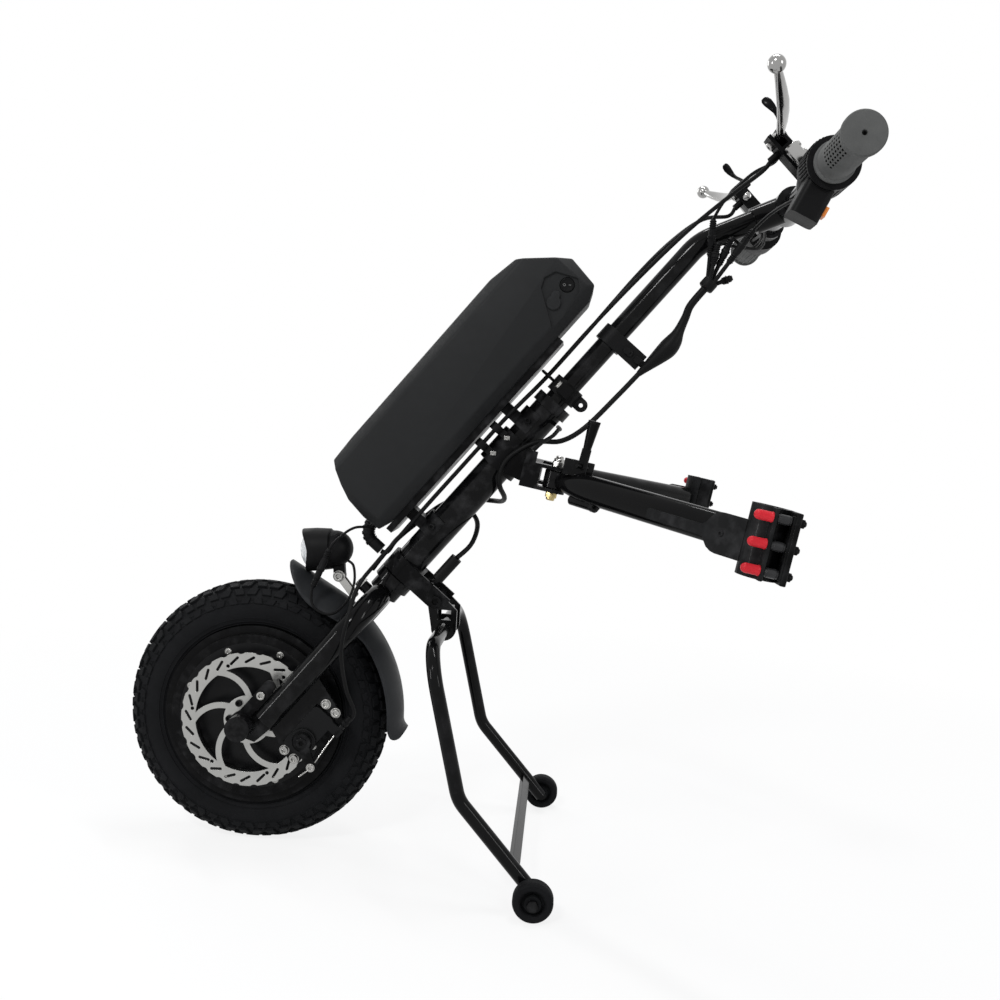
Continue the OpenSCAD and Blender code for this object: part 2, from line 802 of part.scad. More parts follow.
module fork() color("#18191a") on_axis() {
  leg_top = crown_z - crown_bend_r;
  difference() {
    union() {
      both() {
        translate([0, leg_y, leg_end]) cylinder(r = leg_r, h = leg_top - leg_end);
        translate([0, leg_y - crown_bend_r, leg_top]) rotate([90, 0, 90])
          rotate_extrude(angle = 90) translate([crown_bend_r, 0]) circle(leg_r);
        slab(dropout_y, dropout_t) dropout_outline();
      }
      translate([0, 0, crown_z]) bar_y(leg_r, -leg_y + crown_bend_r, leg_y - crown_bend_r);
      translate([0, 0, crown_z]) cylinder(r = steerer_r, h = steerer_top - crown_z);
      translate([0, 0, head_low - cup_h - gap - race_h]) cylinder(r = head_tube_r, h = race_h);
      translate([0, 0, crown_z - leg_r - crown_pad])
        cylinder(r = crown_pad_r, h = leg_r + crown_pad);
      translate([0, 0, lamp_boss_z]) bar_x(lamp_boss_r, -lamp_boss_len, 0);
      slab(-tab_y - tab_t, tab_t) caliper_tab();
      translate([-torque_x, -dropout_y - dropout_t, torque_len - torque_lug])
        block([-torque_w / 2, 0, -torque_lug / 2], [torque_x, dropout_t, torque_lug / 2]);
    }
    translate([0, 0, head_low]) cylinder(r = stem_r + fit, h = steerer_top - head_low + over);
    translate([-fork_offset, 0, 0]) bar_y(axle_r + fit, -leg_y - leg_r, leg_y + leg_r);
    tab_bolt_places() translate([0, 0, -over]) cylinder(r = tab_bolt_r + fit, h = tab_t + 2 * over);
    translate([-torque_x, -leg_y, torque_len - torque_lug]) bar_y(tab_bolt_r + fit, -leg_r, leg_r);
    translate([0, 0, lamp_boss_z]) bar_x(lamp_bolt_r + fit, -lamp_boss_len - over, -lamp_boss_r);
  }
}
module dropout_outline() {
  translate([-fork_offset, 0]) circle(dropout_r);
  polygon([[-fork_offset, -dropout_r], [leg_r - dropout_t, -dropout_t], [leg_r, leg_end + dropout_r],
    [-leg_r, leg_end + dropout_r], [-fork_offset - dropout_r, 0]]);
}
// Bracket that wraps round three sides of the caliper
module caliper_tab() difference() {
  top = cal_z + cal_h / 2 + tab_rim;
  low = cal_z - cal_h / 2 - tab_rim;
  right = cal_x + cal_w / 2;
  polygon([[0, top + tab_rim], [right - tab_rim, top], [right, top - tab_rim / 2],
    [right, low + tab_rim / 2],
    [right - tab_rim / 2, low], [leg_r, low + tab_rim], [0, leg_end + tab_rim]]);
  translate([cal_x - cal_w / 2, cal_z - cal_h / 2]) square([cal_w + over, cal_h]);
}
module tab_bolt_places() for (i = [0, 1], j = [-1, 1])
  translate([cal_x - cal_w / 2 + tab_hole_in + i * cal_w / 2, -tab_y,
    cal_z + j * (cal_h / 2 + tab_rim / 2)])
    rotate([90, 0, 0]) children();

module caliper() color("#1a1b1b") {
  difference() {
    union() {
      on_caliper() slab(-cal_out, cal_out + cal_in) round_square(cal_w, cal_h, cal_corner);
      on_axis() translate([cal_piston_x, 0, cal_piston_z]) {
        bar_y(cal_piston_r, -rotor_y - cal_out - cal_piston_t, -rotor_y);
        bar_y(cal_stub_r, -rotor_y - cal_out - cal_piston_t - cal_arm_t - fit, -rotor_y);
      }
      on_axis() translate([cal_lug_x, -rotor_y - cal_out, cal_lug_z])
        block([-cal_lug_w / 2, 0, -cal_lug_h / 2], [cal_lug_w / 2, cal_lug_t, cal_lug_h / 2]);
      on_axis() translate([cal_barrel_x, -rotor_y - cal_out + cal_lug_t / 2,
        cal_lug_z - cal_lug_h / 2])
        cylinder(r = cal_barrel_r, h = cal_barrel_len - cal_lug_h);
    }
    on_axle() bar_y(rotor_r + play, -rotor_y - cal_slot / 2, -rotor_y + cal_slot / 2);
  }
}
module caliper_arm() color("#2a2b2b") on_axis()
  translate([cal_piston_x, -rotor_y - cal_out - cal_piston_t - cal_arm_t, cal_piston_z])
    slab(0, cal_arm_t - fit) difference() {
    union() {
      circle(cal_arm_r);
      rotate(-cal_arm_turn) tongue(cal_arm_reach, 2 * cal_arm_tip_r);
    }
    circle(cal_stub_r + fit);
  }
module torque_arm() color("#2b2c2c") on_axis() slab(-leg_y - dropout_t / 2 - torque_t, torque_t)
  difference() {
  union() {
    translate([-fork_offset, 0]) circle(dropout_r - play);
    translate([-torque_x, 0]) rotate(90) tongue(torque_len, torque_w);
  }
  translate([-fork_offset, 0]) circle(axle_r + fit);
  translate([-torque_x, torque_len - torque_lug]) circle(tab_bolt_r + fit);
}

module fender() color("#3a3c3e") {
  fender_r = tyre_r + fender_gap;
  post_z = fender_r + fender_rise - fender_t;
  on_axle() {
    rotate([90, 0, 0]) rotate_extrude(angle = fender_front, $fn = 128) fender_section(fender_r, 1);
    translate([fender_r + fender_tail_r, 0, 0]) rotate([90, 180, 0])
      rotate_extrude(angle = fender_tail_turn) fender_section(fender_tail_r, -1);
    rotate([0, -fender_front, 0]) intersection() {
      translate([0, 0, -over]) linear_extrude(fender_lip + over) fender_section(fender_r, 1, gap);
      union() {
        block([fender_r - fender_rise, -2 * fender_half_w, -2 * over],
          [fender_r + 2 * fender_rise, 2 * fender_half_w, fender_lip - fender_tip_r]);
        translate([0, 0, fender_lip - fender_tip_r])
          bar_x(fender_tip_r, fender_r - fender_rise, fender_r + 2 * fender_rise);
      }
    }
  }
  on_axis() translate([0, 0, post_z])
    cylinder(r = fender_post_r, h = crown_z - leg_r - crown_pad - post_z);
}
// The fender's arched section: side says which way its crown points, thin takes a little off each face
module fender_section(r, side, thin = 0) {
  arch_r = (fender_half_w * fender_half_w + fender_rise * fender_rise) / (2 * fender_rise);
  intersection() {
    translate([r + side * (fender_rise - arch_r), 0]) difference() {
      circle(arch_r - thin, $fn = 96);
      circle(arch_r - fender_t + thin, $fn = 96);
    }
    translate([side > 0 ? r + thin : r - fender_rise - over, -fender_half_w - over])
      square([fender_rise + over, 2 * (fender_half_w + over)]);
  }
}

module headlight_shell() color("#161717") {
  on_lamp() difference() {
    union() {
      cylinder(r = lamp_r, h = lamp_ring);
      translate([0, 0, lamp_ring])
        cylinder(r1 = lamp_r, r2 = lamp_back_r, h = lamp_len - lamp_ring);
      translate([0, 0, lamp_len]) sphere(lamp_back_r);
      intersection() {
        translate([0, 0, -lamp_brim]) cylinder(r = lamp_r, h = lamp_brim);
        translate([-2 * lamp_r, -lamp_r, -lamp_brim])
          cube([2 * lamp_r + lamp_wall, 2 * lamp_r, lamp_brim]);
      }
      translate([0, -lamp_tab_t / 2, lamp_tab_x - lamp_tab_r])
        cube([lamp_tab_drop - lamp_tab_r, lamp_tab_t, 2 * lamp_tab_r]);
      translate([lamp_tab_drop - lamp_tab_r, 0, lamp_tab_x])
        bar_y(lamp_tab_r, -lamp_tab_t / 2, lamp_tab_t / 2);
    }
    translate([0, 0, -lamp_brim - over])
      cylinder(r = lamp_r - lamp_wall, h = lamp_brim + over + lamp_lens_seat + lamp_lens_t);
    translate([0, 0, lamp_lens_seat]) cylinder(r1 = lamp_r - 2 * lamp_wall, r2 = lamp_back_r / 2,
      h = lamp_len - lamp_lens_seat);
    translate([lamp_tab_drop - lamp_tab_r, 0, lamp_tab_x])
      bar_y(lamp_bolt_r + fit, -lamp_tab_t, lamp_tab_t);
  }
}
module headlight_lens() color("#e9ecec") on_lamp() translate([0, 0, lamp_lens_seat])
  cylinder(r = lamp_r - lamp_wall - fit, h = lamp_lens_t);
module headlight_bracket() color("#aeb0b0") {
  tab_x = lamp_x + (lamp_tab_drop - lamp_tab_r) * sin(lamp_pitch) + lamp_tab_x * cos(lamp_pitch);
  tab_z = lamp_z - (lamp_tab_drop - lamp_tab_r) * cos(lamp_pitch) + lamp_tab_x * sin(lamp_pitch);
  foot_x = up_x(-lamp_boss_len, lamp_boss_z - lamp_foot);
  foot_z = up_z(-lamp_boss_len, lamp_boss_z - lamp_foot);
  difference() {
    put() both() slab(lamp_tab_t / 2, lamp_strip_t)
      translate([tab_x, tab_z]) {
      circle(lamp_tab_r);
      rotate(atan2(foot_z - tab_z, foot_x - tab_x))
        tongue(norm([foot_x - tab_x, foot_z - tab_z]), lamp_strip_w / 2);
    }
    on_lamp() translate([lamp_tab_drop - lamp_tab_r, 0, lamp_tab_x])
      bar_y(lamp_bolt_r + fit, -lamp_strip_w, lamp_strip_w);
  }
  on_axis() difference() {
    translate([-lamp_boss_len - lamp_strip_t, 0, lamp_boss_z])
      block([0, -lamp_strip_w / 2, -lamp_foot], [lamp_strip_t, lamp_strip_w / 2, lamp_boss_r]);
    translate([0, 0, lamp_boss_z]) bar_x(lamp_bolt_r + fit, -lamp_boss_len - 2 * over, 0);
  }
}

// Stem and handlebar
module stem() color("#1b1c1d") {
  on_axis() {
    turn = stem_turn_r * tan(stem_bend / 2);
    translate([0, 0, stem_depth]) cylinder(r = stem_r, h = stem_bend_z - turn + gap - stem_depth);
    translate([stem_turn_r, 0, stem_bend_z - turn]) rotate([90, 0, 180])
      rotate_extrude(angle = stem_bend) translate([stem_turn_r, 0]) circle(stem_r - fit);
    translate([0, 0, stem_bend_z]) rotate([0, stem_bend, 0]) difference() {
      union() {
        translate([0, 0, turn - gap]) cylinder(r = stem_r, h = stem_reach - turn + gap);
        translate([0, 0, stem_reach - stem_neck]) cylinder(r = stem_neck_r, h = stem_neck);
        translate([0, 0, stem_reach]) bar_y(bar_clamp_r, -bar_clamp_w / 2, bar_clamp_w / 2);
      }
      translate([0, 0, stem_reach]) bar_y(bar_r + fit, -bar_clamp_w, bar_clamp_w);
    }
  }
}
module stem_collar() color("#202122") on_axis() {
  tab_z = collar_low + collar_h / 2;
  collar_r = stem_r + collar_wall;
  difference() {
    union() {
      translate([0, 0, collar_low]) cylinder(r = steerer_r + collar_wall, h = collar_h);
      slab(-collar_tab_t / 2, collar_tab_t) translate([0, tab_z])
        tongue(collar_tab_x, 2 * collar_tab_r);
      block([-collar_lug_w / 2, -collar_r - collar_lug, tab_z - collar_tab_r + play],
        [collar_lug_w / 2, -stem_r, tab_z + collar_tab_r - play]);
      translate([-guide_x, -guide_y, tab_z]) rotate_extrude() translate([guide_r, 0])
        circle(guide_wire_r);
      translate([0, 0, tab_z]) bar_x(guide_wire_r, -guide_x + guide_r * cos(guide_turn), 0);
    }
    translate([0, 0, collar_low - over])
      cylinder(r = steerer_r + fit, h = steerer_top - collar_low + over);
    translate([0, 0, collar_low]) cylinder(r = stem_r + fit, h = collar_h + over);
    translate([collar_tab_x, 0, tab_z]) bar_y(collar_hole_r, -collar_tab_t, collar_tab_t);
    translate([0, -collar_r - collar_lug / 2, tab_z])
      bar_x(tab_bolt_r + fit, -collar_lug_w, collar_lug_w);
  }
}
module handlebar() color("#1b1c1d") on_bar() difference() {
  bar_y(bar_r, -bar_half + grip_flange, bar_half - grip_flange);
  bar_y(bar_r - bar_wall, -bar_half, bar_half);
}
module left_grip() color("#8a8b89") on_bar() difference() {
  union() {
    bar_y(grip_r, -bar_half, -bar_half + grip_len);
    bar_y(grip_flange_r, -bar_half, -bar_half + 2 * grip_flange);
    bar_y(grip_flange_r, -bar_half + grip_len - 2 * grip_flange, -bar_half + grip_len);
  }
  bar_y(bar_r + fit, -bar_half + grip_flange, -bar_half + grip_len + over);
  bar_y(collar_hole_r, -bar_half - over, 0);
}
module switch_box() color("#1a1b1c") {
  out = bar_half - grip_len;
  on_switch() difference() {
    union() {
      bar_y(switch_r, -out, -switch_in);
      translate([0, -(out + switch_in) / 2, 0]) rotate([0, 90, 0]) linear_extrude(switch_box_l)
        round_square(switch_box_d, switch_box_w, cal_corner);
    }
    bar_y(bar_r + fit, -out - over, -switch_in + over);
    for (i = [0:switch_flutes - 1]) rotate([0, 180 + i * 180 / (switch_flutes - 1), 0])
      block([switch_r - switch_flute_d, -out + switch_rim, -switch_flute_w / 2],
        [switch_r + over, -switch_in - switch_rim, switch_flute_w / 2]);
    slider_place() translate([0, 0, -slider_floor]) linear_extrude(slider_t + over)
      square([slider_h + 2 * gap, slider_w + slider_travel + 2 * gap], center = true);
    button_place() translate([0, 0, -button_h + button_travel - gap])
      cylinder(r = button_r + gap, h = button_h + over);
  }
}
module slider_place()
  translate([switch_box_l - slider_w, -(bar_half - grip_len + switch_in) / 2 - slider_w / 3,
  switch_box_d / 2]) children();
module button_place()
  translate([switch_box_l - slider_w, -(bar_half - grip_len + switch_in) / 2 + switch_box_w / 3,
  switch_box_d / 2]) children();
module light_slider() color("#e08a3c") on_switch() slider_place()
  translate([0, -slider_travel / 2, -slider_floor]) linear_extrude(slider_t)
    square([slider_h, slider_w], center = true);
module horn_button() color("#c23a3f") on_switch() button_place()
  translate([0, 0, -button_h + button_travel + button_travel])
    cylinder(r = button_r, h = button_h - button_travel);
module throttle_housing() color("#191a1b") on_bar() difference() {
  bar_y(throttle_r, throttle_in, bar_half - grip_len);
  bar_y(bar_r + fit, throttle_in - over, bar_half);
}
module throttle_grip() color("#858684") on_bar() difference() {
  union() {
    bar_y(grip_r, bar_half - grip_len + gap, bar_half);
    bar_y(grip_flange_r, bar_half - 2 * grip_flange, bar_half);
    for (i = [0:throttle_ribs - 1]) rotate([0, i * 360 / throttle_ribs, 0])
      block([grip_r - throttle_rib, bar_half - grip_len + gap, -throttle_rib],
        [grip_r + throttle_rib, bar_half - 2 * grip_flange, throttle_rib]);
  }
  bar_y(bar_r + fit, 0, bar_half - grip_flange);
}

// Brake brackets, levers and parking locks, drawn for the rider's right
module brake_bracket() {
  difference() {
    union() {
      bar_y(bracket_r, bracket_y - bracket_w / 2, bracket_y + bracket_w / 2);
      block([0, bracket_y - bracket_w / 2, -bracket_h / 2], [bracket_end, bracket_y + bracket_w / 2,
        bracket_h / 2]);
      translate([cable_port_x, bracket_y - cable_port_r, 0])
        cylinder(r = cable_port_r, h = bracket_h / 2 + cable_port_l);
      translate([lock_x, lock_y, 0]) mirror([0, 0, 1])
        cylinder(r = lock_pin_r, h = bracket_h / 2 + lock_t + gap);
    }
    bar_y(bar_r + fit, 0, bar_half);
    translate([lever_pivot_x - lever_hub_r - play, bracket_y - lever_hub_r - play, -lever_slot / 2])
      cube([bracket_end, bracket_w, lever_slot]);
  }
  translate([lever_pivot_x, bracket_y, -bracket_h / 2]) cylinder(r = lever_pin_r, h = bracket_h);
}
module bracket_left() color("#2a2b2c") on_lever(-1) brake_bracket();
module bracket_right() color("#2a2b2c") on_lever(1) brake_bracket();
module brake_lever() {
  reach_x = lever_tip_x - lever_pivot_x;
  translate([lever_pivot_x, bracket_y, 0]) {
    difference() {
      union() {
        translate([0, 0, -lever_hub_h / 2]) cylinder(r = lever_hub_r, h = lever_hub_h);
        translate([0, 0, -lever_hub_h / 2]) linear_extrude(lever_hub_h)
          polygon([for (s = lever_root_shares) [s[0] * lever_hub_r, s[1] * lever_len]]);
      }
      translate([0, 0, -lever_hub_h]) cylinder(r = lever_pin_r + fit, h = 2 * lever_hub_h);
    }
    translate([0, 0, -lever_blade_w / 2]) linear_extrude(lever_blade_w)
      polygon(concat([for (s = lever_blade_shares) [s[0] * reach_x, s[1] * lever_len]],
        [for (i = [len(lever_blade_shares) - 1:-1:0])
          [lever_blade_shares[i][0] * reach_x + lever_blade_t,
            lever_blade_shares[i][1] * lever_len]]));
    translate([reach_x, lever_len, 0]) sphere(lever_ball_r);
  }
}
module lever_left() color("#c4c5c3") on_lever(-1) brake_lever();
module lever_right() color("#c4c5c3") on_lever(1) brake_lever();
module lock_lever() translate([lock_x, lock_y, -bracket_h / 2 - lock_t - gap / 2]) difference() {
  linear_extrude(lock_t) {
    circle(lock_w / 2 + lock_pin_r);
    rotate(lock_turn) {
      tongue(lock_reach, lock_w);
      translate([lock_reach, 0]) rotate(-lock_turn) tongue(lock_hook, lock_w);
    }
  }
  translate([0, 0, -over]) cylinder(r = lock_pin_r + fit, h = lock_t + 2 * over);
}
module lock_left() color("#3a3b3c") on_lever(-1) lock_lever();
module lock_right() color("#3a3b3c") on_lever(1) lock_lever();

// Harness on the stem
module harness_band() color("#1d1e1f") on_axis() difference() {
  union() {
    translate([0, 0, band_z]) cylinder(r = stem_r + band_wall, h = band_h);
    block([0, -stem_r - band_plate_t, band_z], [band_reach, -stem_r, band_z + band_h]);
    for (x = [band_reach / 2, band_reach - band_screw_r - play])
      translate([x, -stem_r - band_plate_t, band_z + band_h / 2])
      bar_y(band_screw_r, -band_screw_h, 0);
  }
  translate([0, 0, band_z - over]) cylinder(r = stem_r + fit, h = band_h + 2 * over);
}
module between(a, b, r1, r2) {
  d = b - a;
  translate(a) rotate([0, acos(d[2] / norm(d)), atan2(d[1], d[0])])
    cylinder(r1 = r1, r2 = r2, h = norm(d));
}
module harness_plug() color("#191a1b") on_axis() {
  between(plug_tail, plug_waist, plug_tail_r, plug_body_r);
  translate(plug_waist) sphere(plug_body_r + plug_joint);
  between(plug_waist, plug_neck, plug_body_r, plug_neck_r);
  translate(plug_neck) sphere(plug_neck_r + plug_joint);
  between(plug_neck, plug_knee, plug_trunk_r, plug_trunk_r);
  translate(plug_knee) sphere(plug_trunk_r + plug_joint);
  translate(plug_knee) cylinder(r = plug_trunk_r, h = plug_top[2] - plug_knee[2] - splitter_h / 2);
  translate(plug_top - [0, 0, splitter_h]) cylinder(r = splitter_r, h = splitter_h);
  for (b = branches) {
    root = plug_top + splitter_r * branch_ring_share * [cos(b[0]), sin(b[0]), 0] - [0, 0,
      splitter_h / 4];
    knee = root + [0, 0, splitter_h / 4 + branch_stub];
    half = knee + (b[1] - knee) * branch_plug_share;
    translate(root) cylinder(r = branch_r, h = knee[2] - root[2]);
    translate(knee) sphere(branch_r + plug_joint);
    between(knee, knee + (b[1] - knee) * branch_lap_share, branch_r, branch_r);
    between(half, b[1], branch_plug_r, branch_plug_r);
  }
}

module steering_bolts() color("#c7c8c6") {
  on_axis() {
    tab_bolt_places() {
      cylinder(r = tab_bolt_r, h = tab_t);
      translate([0, 0, tab_t]) cylinder(r = tab_bolt_head_r, h = tab_bolt_head_h);
    }
    translate([-torque_x, 0, torque_len - torque_lug]) {
      bar_y(tab_bolt_r, -leg_y - dropout_t / 2 - torque_t, -leg_y + dropout_t / 2);
      bar_y(tab_bolt_head_r, -leg_y - dropout_t / 2 - torque_t - tab_bolt_head_h,
        -leg_y - dropout_t / 2 - torque_t);
    }
    translate([0, 0, lamp_boss_z]) {
      bar_x(lamp_bolt_r, -lamp_boss_len - lamp_strip_t, -lamp_boss_r - over);
      bar_x(lamp_bolt_head_r, -lamp_boss_len - lamp_strip_t - lamp_bolt_head_h,
        -lamp_boss_len - lamp_strip_t);
    }
    translate([0, -stem_r - collar_wall - collar_lug / 2, collar_low + collar_h / 2]) {
      bar_x(tab_bolt_r, -collar_lug_w / 2, collar_lug_w / 2);
      bar_x(tab_bolt_head_r, -collar_lug_w / 2 - tab_bolt_head_h, -collar_lug_w / 2);
    }
  }
  on_lamp() translate([lamp_tab_drop - lamp_tab_r, 0, lamp_tab_x]) {
    bar_y(lamp_bolt_r, -lamp_tab_t / 2 - lamp_strip_t, lamp_tab_t / 2 + lamp_strip_t);
    bar_y(lamp_bolt_head_r, -lamp_tab_t / 2 - lamp_strip_t - lamp_bolt_head_h,
      -lamp_tab_t / 2 - lamp_strip_t);
  }
}

// Cords
module control_cables() color("#141515") on_axis() {
  swept(brake_left_route, cable_r, 4, 8);
  swept(brake_right_route, cable_r, 4, 8);
  swept(harness_route, lead_r, 4, 8);
  swept(light_route, cable_r, 4, 8);
  for (r = [left_lever_route, switch_route, throttle_route, right_lever_route]) swept(r, wire_r, 4, 8);
}
module motor_lead() color("#161717") on_axis() {
  swept(motor_route, lead_r, 4, 8);
  swept(motor_tail_route, lead_r, 4, 8);
  between(motor_route[len(motor_route) - 1], motor_tail_route[0], connector_r, connector_r);
}
module release_cable() color("#161717") on_axis() swept(release_route, cable_r, 3, 8);
module controller_boot() color("#151616") on_axis() translate(boot_start) {
  rotate([180, 0, 0]) cylinder(r = boot_r, h = boot_drop);
  translate([boot_turn_r, 0, -boot_drop]) rotate([90, 0, 0]) rotate([0, 0, 180]) {
    rotate_extrude(angle = 90) translate([boot_turn_r, 0]) circle(boot_r - fit);
    for (i = [0:boot_ribs - 1]) rotate((i + 1 / 4) * 90 / boot_ribs)
      rotate_extrude(angle = 45 / boot_ribs) translate([boot_turn_r, 0]) circle(boot_r + boot_rib);
  }
  translate([0, 0, -boot_drop - boot_turn_r]) bar_x(boot_r, boot_turn_r, boot_end_x - boot_start[0]);
}

// Yoke and arms
module yoke() color("#1e1f20") {
  t = head_lean - arm_tilt;
  difference() {
    union() {
      on_axis() translate([0, 0, yoke_low]) cylinder(r = head_tube_r + yoke_wall, h = yoke_h);
      on_axis() slab(-yoke_half_w, 2 * yoke_half_w) polygon([[0, yoke_low], [0, yoke_low + yoke_h],
        [pin_lx - (beam_x + beam_d / 2) * cos(t) - beam_half_h * sin(t),
          pin_lz - (beam_x + beam_d / 2) * sin(t) + beam_half_h * cos(t)],
        [pin_lx - (beam_x + beam_d / 2) * cos(t) + beam_half_h * sin(t),
          pin_lz - (beam_x + beam_d / 2) * sin(t) - beam_half_h * cos(t)]]);
      on_yoke() block([-beam_x - beam_d, -pin_y - beam_end, -beam_half_h],
        [-beam_x, pin_y + beam_end, beam_half_h]);
      on_yoke() for (s = [-1, 1], k = [-1, 1])
        translate([0, s * pin_y, k > 0 ? beam_half_h - lug_t : -beam_half_h])
        linear_extrude(lug_t) rotate(180) union() {
          circle(lug_r);
          translate([0, -lug_r]) square([beam_x + play, 2 * lug_r]);
        }
      on_yoke() block([-beam_x - beam_d + play, -pin_y - beam_end, beam_half_h - play],
        [-beam_x - beam_d + play + stop_w, -pin_y - beam_end + stop_w, beam_half_h + stop_h]);
    }
    on_axis() translate([0, 0, yoke_low - yoke_h]) cylinder(r = head_tube_r + fit, h = 3 * yoke_h);
    on_yoke() for (s = [-1, 1]) translate([0, s * pin_y, -2 * beam_half_h])
      cylinder(r = pin_r + fit, h = 4 * beam_half_h);
  }
}
module frame_bolts() color("#cfd0cd") {
  on_yoke() for (s = [-1, 1]) translate([0, s * pin_y, 0]) {
    translate([0, 0, -beam_half_h]) cylinder(r = pin_r, h = 2 * beam_half_h);
    translate([0, 0, beam_half_h]) cylinder(r = nut_r, h = nut_h, $fn = 6);
    translate([0, 0, -beam_half_h - nut_h]) cylinder(r = nut_r, h = nut_h, $fn = 6);
  }
  on_axis() translate([pivot_lx, 0, pivot_lz]) {
    half = bracket_plate_in + bracket_plate_t;
    bar_y(stand_bolt_r, -half, half);
    bar_y(stand_bolt_head_r, -half - stand_bolt_head_h, -half);
    bar_y(stand_bolt_head_r, half, half + stand_bolt_head_h, $fn = 6);
  }
  on_axis() saddle_screw_places() bar_y(saddle_screw_r, -saddle_screw_h, 0);
}
module saddle_screw_places() for (z = saddle_places, s = [-1, 1])
  translate([-saddle_screw_x, s * (head_tube_r + saddle_wall), z + saddle_h / 2])
    mirror([0, s > 0 ? 1 : 0, 0]) children();

module arm_section() for (s = [-1, 1]) {
  translate([0, s * (arm_half_h - arm_half_w)]) circle(arm_half_w);
  square([2 * arm_half_w, 2 * (arm_half_h - arm_half_w)], center = true);
}
module arm_body() difference() {
  union() {
    translate([arm_start, 0, 0]) rotate([90, 0, 90]) linear_extrude(arm_len - arm_start)
      arm_section();
    translate([0, 0, -eye_half_h]) cylinder(r = eye_r, h = 2 * eye_half_h);
    block([0, -arm_half_w, -eye_half_h], [arm_start + play, arm_half_w, eye_half_h]);
    translate([arm_len, 0, 0]) rotate([90, 0, 90]) linear_extrude(arm_plug)
      square(2 * (arm_half_w - arm_plug_in), center = true);
  }
  translate([0, 0, -arm_half_h]) cylinder(r = pin_r + fit, h = 2 * arm_half_h);
  for (k = [-1:1]) block([arm_len - groove_len, -arm_half_w - over, k * groove_step - groove_w / 2],
    [arm_len + arm_plug + over, -arm_half_w + groove_d, k * groove_step + groove_w / 2]);
}
module arm_left() color("#17181a") on_arm(-1) {
  arm_body();
  translate([0, 0, arm_half_h]) difference() {
    block([arm_start, -clevis_half_w, -arm_half_w], [arm_start + clevis_len, clevis_half_w,
      clevis_h]);
    block([clevis_pin_x - clevis_slot, -clevis_slot / 2 - gap, 0],
      [arm_start + clevis_len + over, clevis_slot / 2 + gap, clevis_h + over]);
  }
  translate([clevis_pin_x, 0, arm_half_h + clevis_h / 2])
    bar_y(clevis_pin_r, -clevis_half_w, clevis_half_w);
  translate([arm_start + clevis_len / 2, 0, -arm_half_h]) bar_x(plunger_r, 0, plunger_l);
  translate([arm_start + clevis_len / 2 + plunger_l, 0, -arm_half_h])
    bar_x(plunger_tip_r, 0, plunger_tip_l);
}
module arm_right() color("#17181a") on_arm(1) arm_body();

module coupling_lever() color("#2c2d2e") on_arm(-1)
  translate([clevis_pin_x, 0, arm_half_h + clevis_h / 2]) rotate([0, lever_lean, 0]) difference() {
  union() {
    slab(-clevis_slot / 2, clevis_slot) rotate(90) {
      circle(lever_bar_w / 2);
      translate([0, -lever_bar_w / 2]) square([lever_bar_h, lever_bar_w]);
    }
    translate([0, 0, lever_bar_h])
      cylinder(r1 = lever_grip_r, r2 = lever_grip_top_r, h = lever_grip_h);
  }
  bar_y(clevis_pin_r + fit, -clevis_slot, clevis_slot);
}

// Clamps, drawn for the rider's right: a plate with the front jaw, a rear jaw and three bolts
module clamp_plate() {
  side = arm_half_w;
  difference() {
    union() {
      slab(side, plate_t) {
        translate([plate_from, plate_strip_z])
          square([plate_wide_from - plate_from + plate_round, plate_strip]);
        translate([clamp_x - plate_wide_l / 2, plate_wide_z])
          round_square(plate_wide_l, plate_wide_h, plate_round);
      }
      clamp_half(-1);
      block([clamp_x - clamp_gap / 2 - clamp_flange_t, side, -clamp_h / 2],
        [clamp_x - clamp_gap / 2, clamp_bolt_y + clamp_flange / 2, clamp_h / 2]);
    }
    clamp_hollow();
    translate([plate_hole_x, 0, plate_wide_z]) bar_y(plate_hole_r, 0, 2 * (side + plate_t));
  }
}
module clamp_half(side) intersection() {
  translate([clamp_x, 0, -clamp_h / 2]) cylinder(r = clamp_bore_r + clamp_wall, h = clamp_h);
  translate([side < 0 ? clamp_x - 2 * clamp_reach - clamp_gap / 2 : clamp_x + clamp_gap / 2,
    -clamp_reach, -clamp_h])
    cube([2 * clamp_reach, 2 * clamp_reach, 2 * clamp_h]);
}
module clamp_hollow() {
  translate([clamp_x, 0, -clamp_h]) cylinder(r = clamp_bore_r, h = 2 * clamp_h);
  clamp_bolt_places() bar_x(clamp_bolt_r + fit, -clamp_reach, 2 * clamp_reach);
}
module clamp_bolt_places() for (k = [-1:1]) translate([clamp_x, clamp_bolt_y, k * clamp_bolt_step])
  children();
module clamp_jaw() {
  rear = clamp_x + clamp_bore_r + clamp_wall;
  difference() {
    union() {
      clamp_half(1);
      block([rear - clamp_rear_t, -clamp_reach / 2, -clamp_h / 2],
        [rear, clamp_bolt_y + clamp_flange / 2, clamp_h / 2]);
    }
    clamp_hollow();
  }
  clamp_bolt_places() {
    bar_x(clamp_bolt_r, -clamp_gap / 2 - clamp_flange_t - clamp_nut_h, rear - clamp_x + clamp_head_h);
    bar_x(clamp_nut_r, rear - clamp_x, rear - clamp_x + clamp_head_h, $fn = 6);
    bar_x(clamp_nut_r, -clamp_gap / 2 - clamp_flange_t - clamp_nut_h, -clamp_gap / 2 - clamp_flange_t,
      $fn = 6);
  }
}
module clamp_caps() clamp_bolt_places() translate([-clamp_gap / 2 - clamp_flange_t, 0, 0]) difference() {
  union() {
    bar_x(red_cap_r, -red_cap_l + red_cap_r, 0);
    translate([-red_cap_l + red_cap_r, 0, 0]) sphere(red_cap_r);
  }
  bar_x(clamp_nut_r + fit, -clamp_nut_h - fit, over);
}
module clamp_left() color("#222324") on_arm(-1) clamp_plate();
module clamp_right() color("#222324") on_arm(1) clamp_plate();
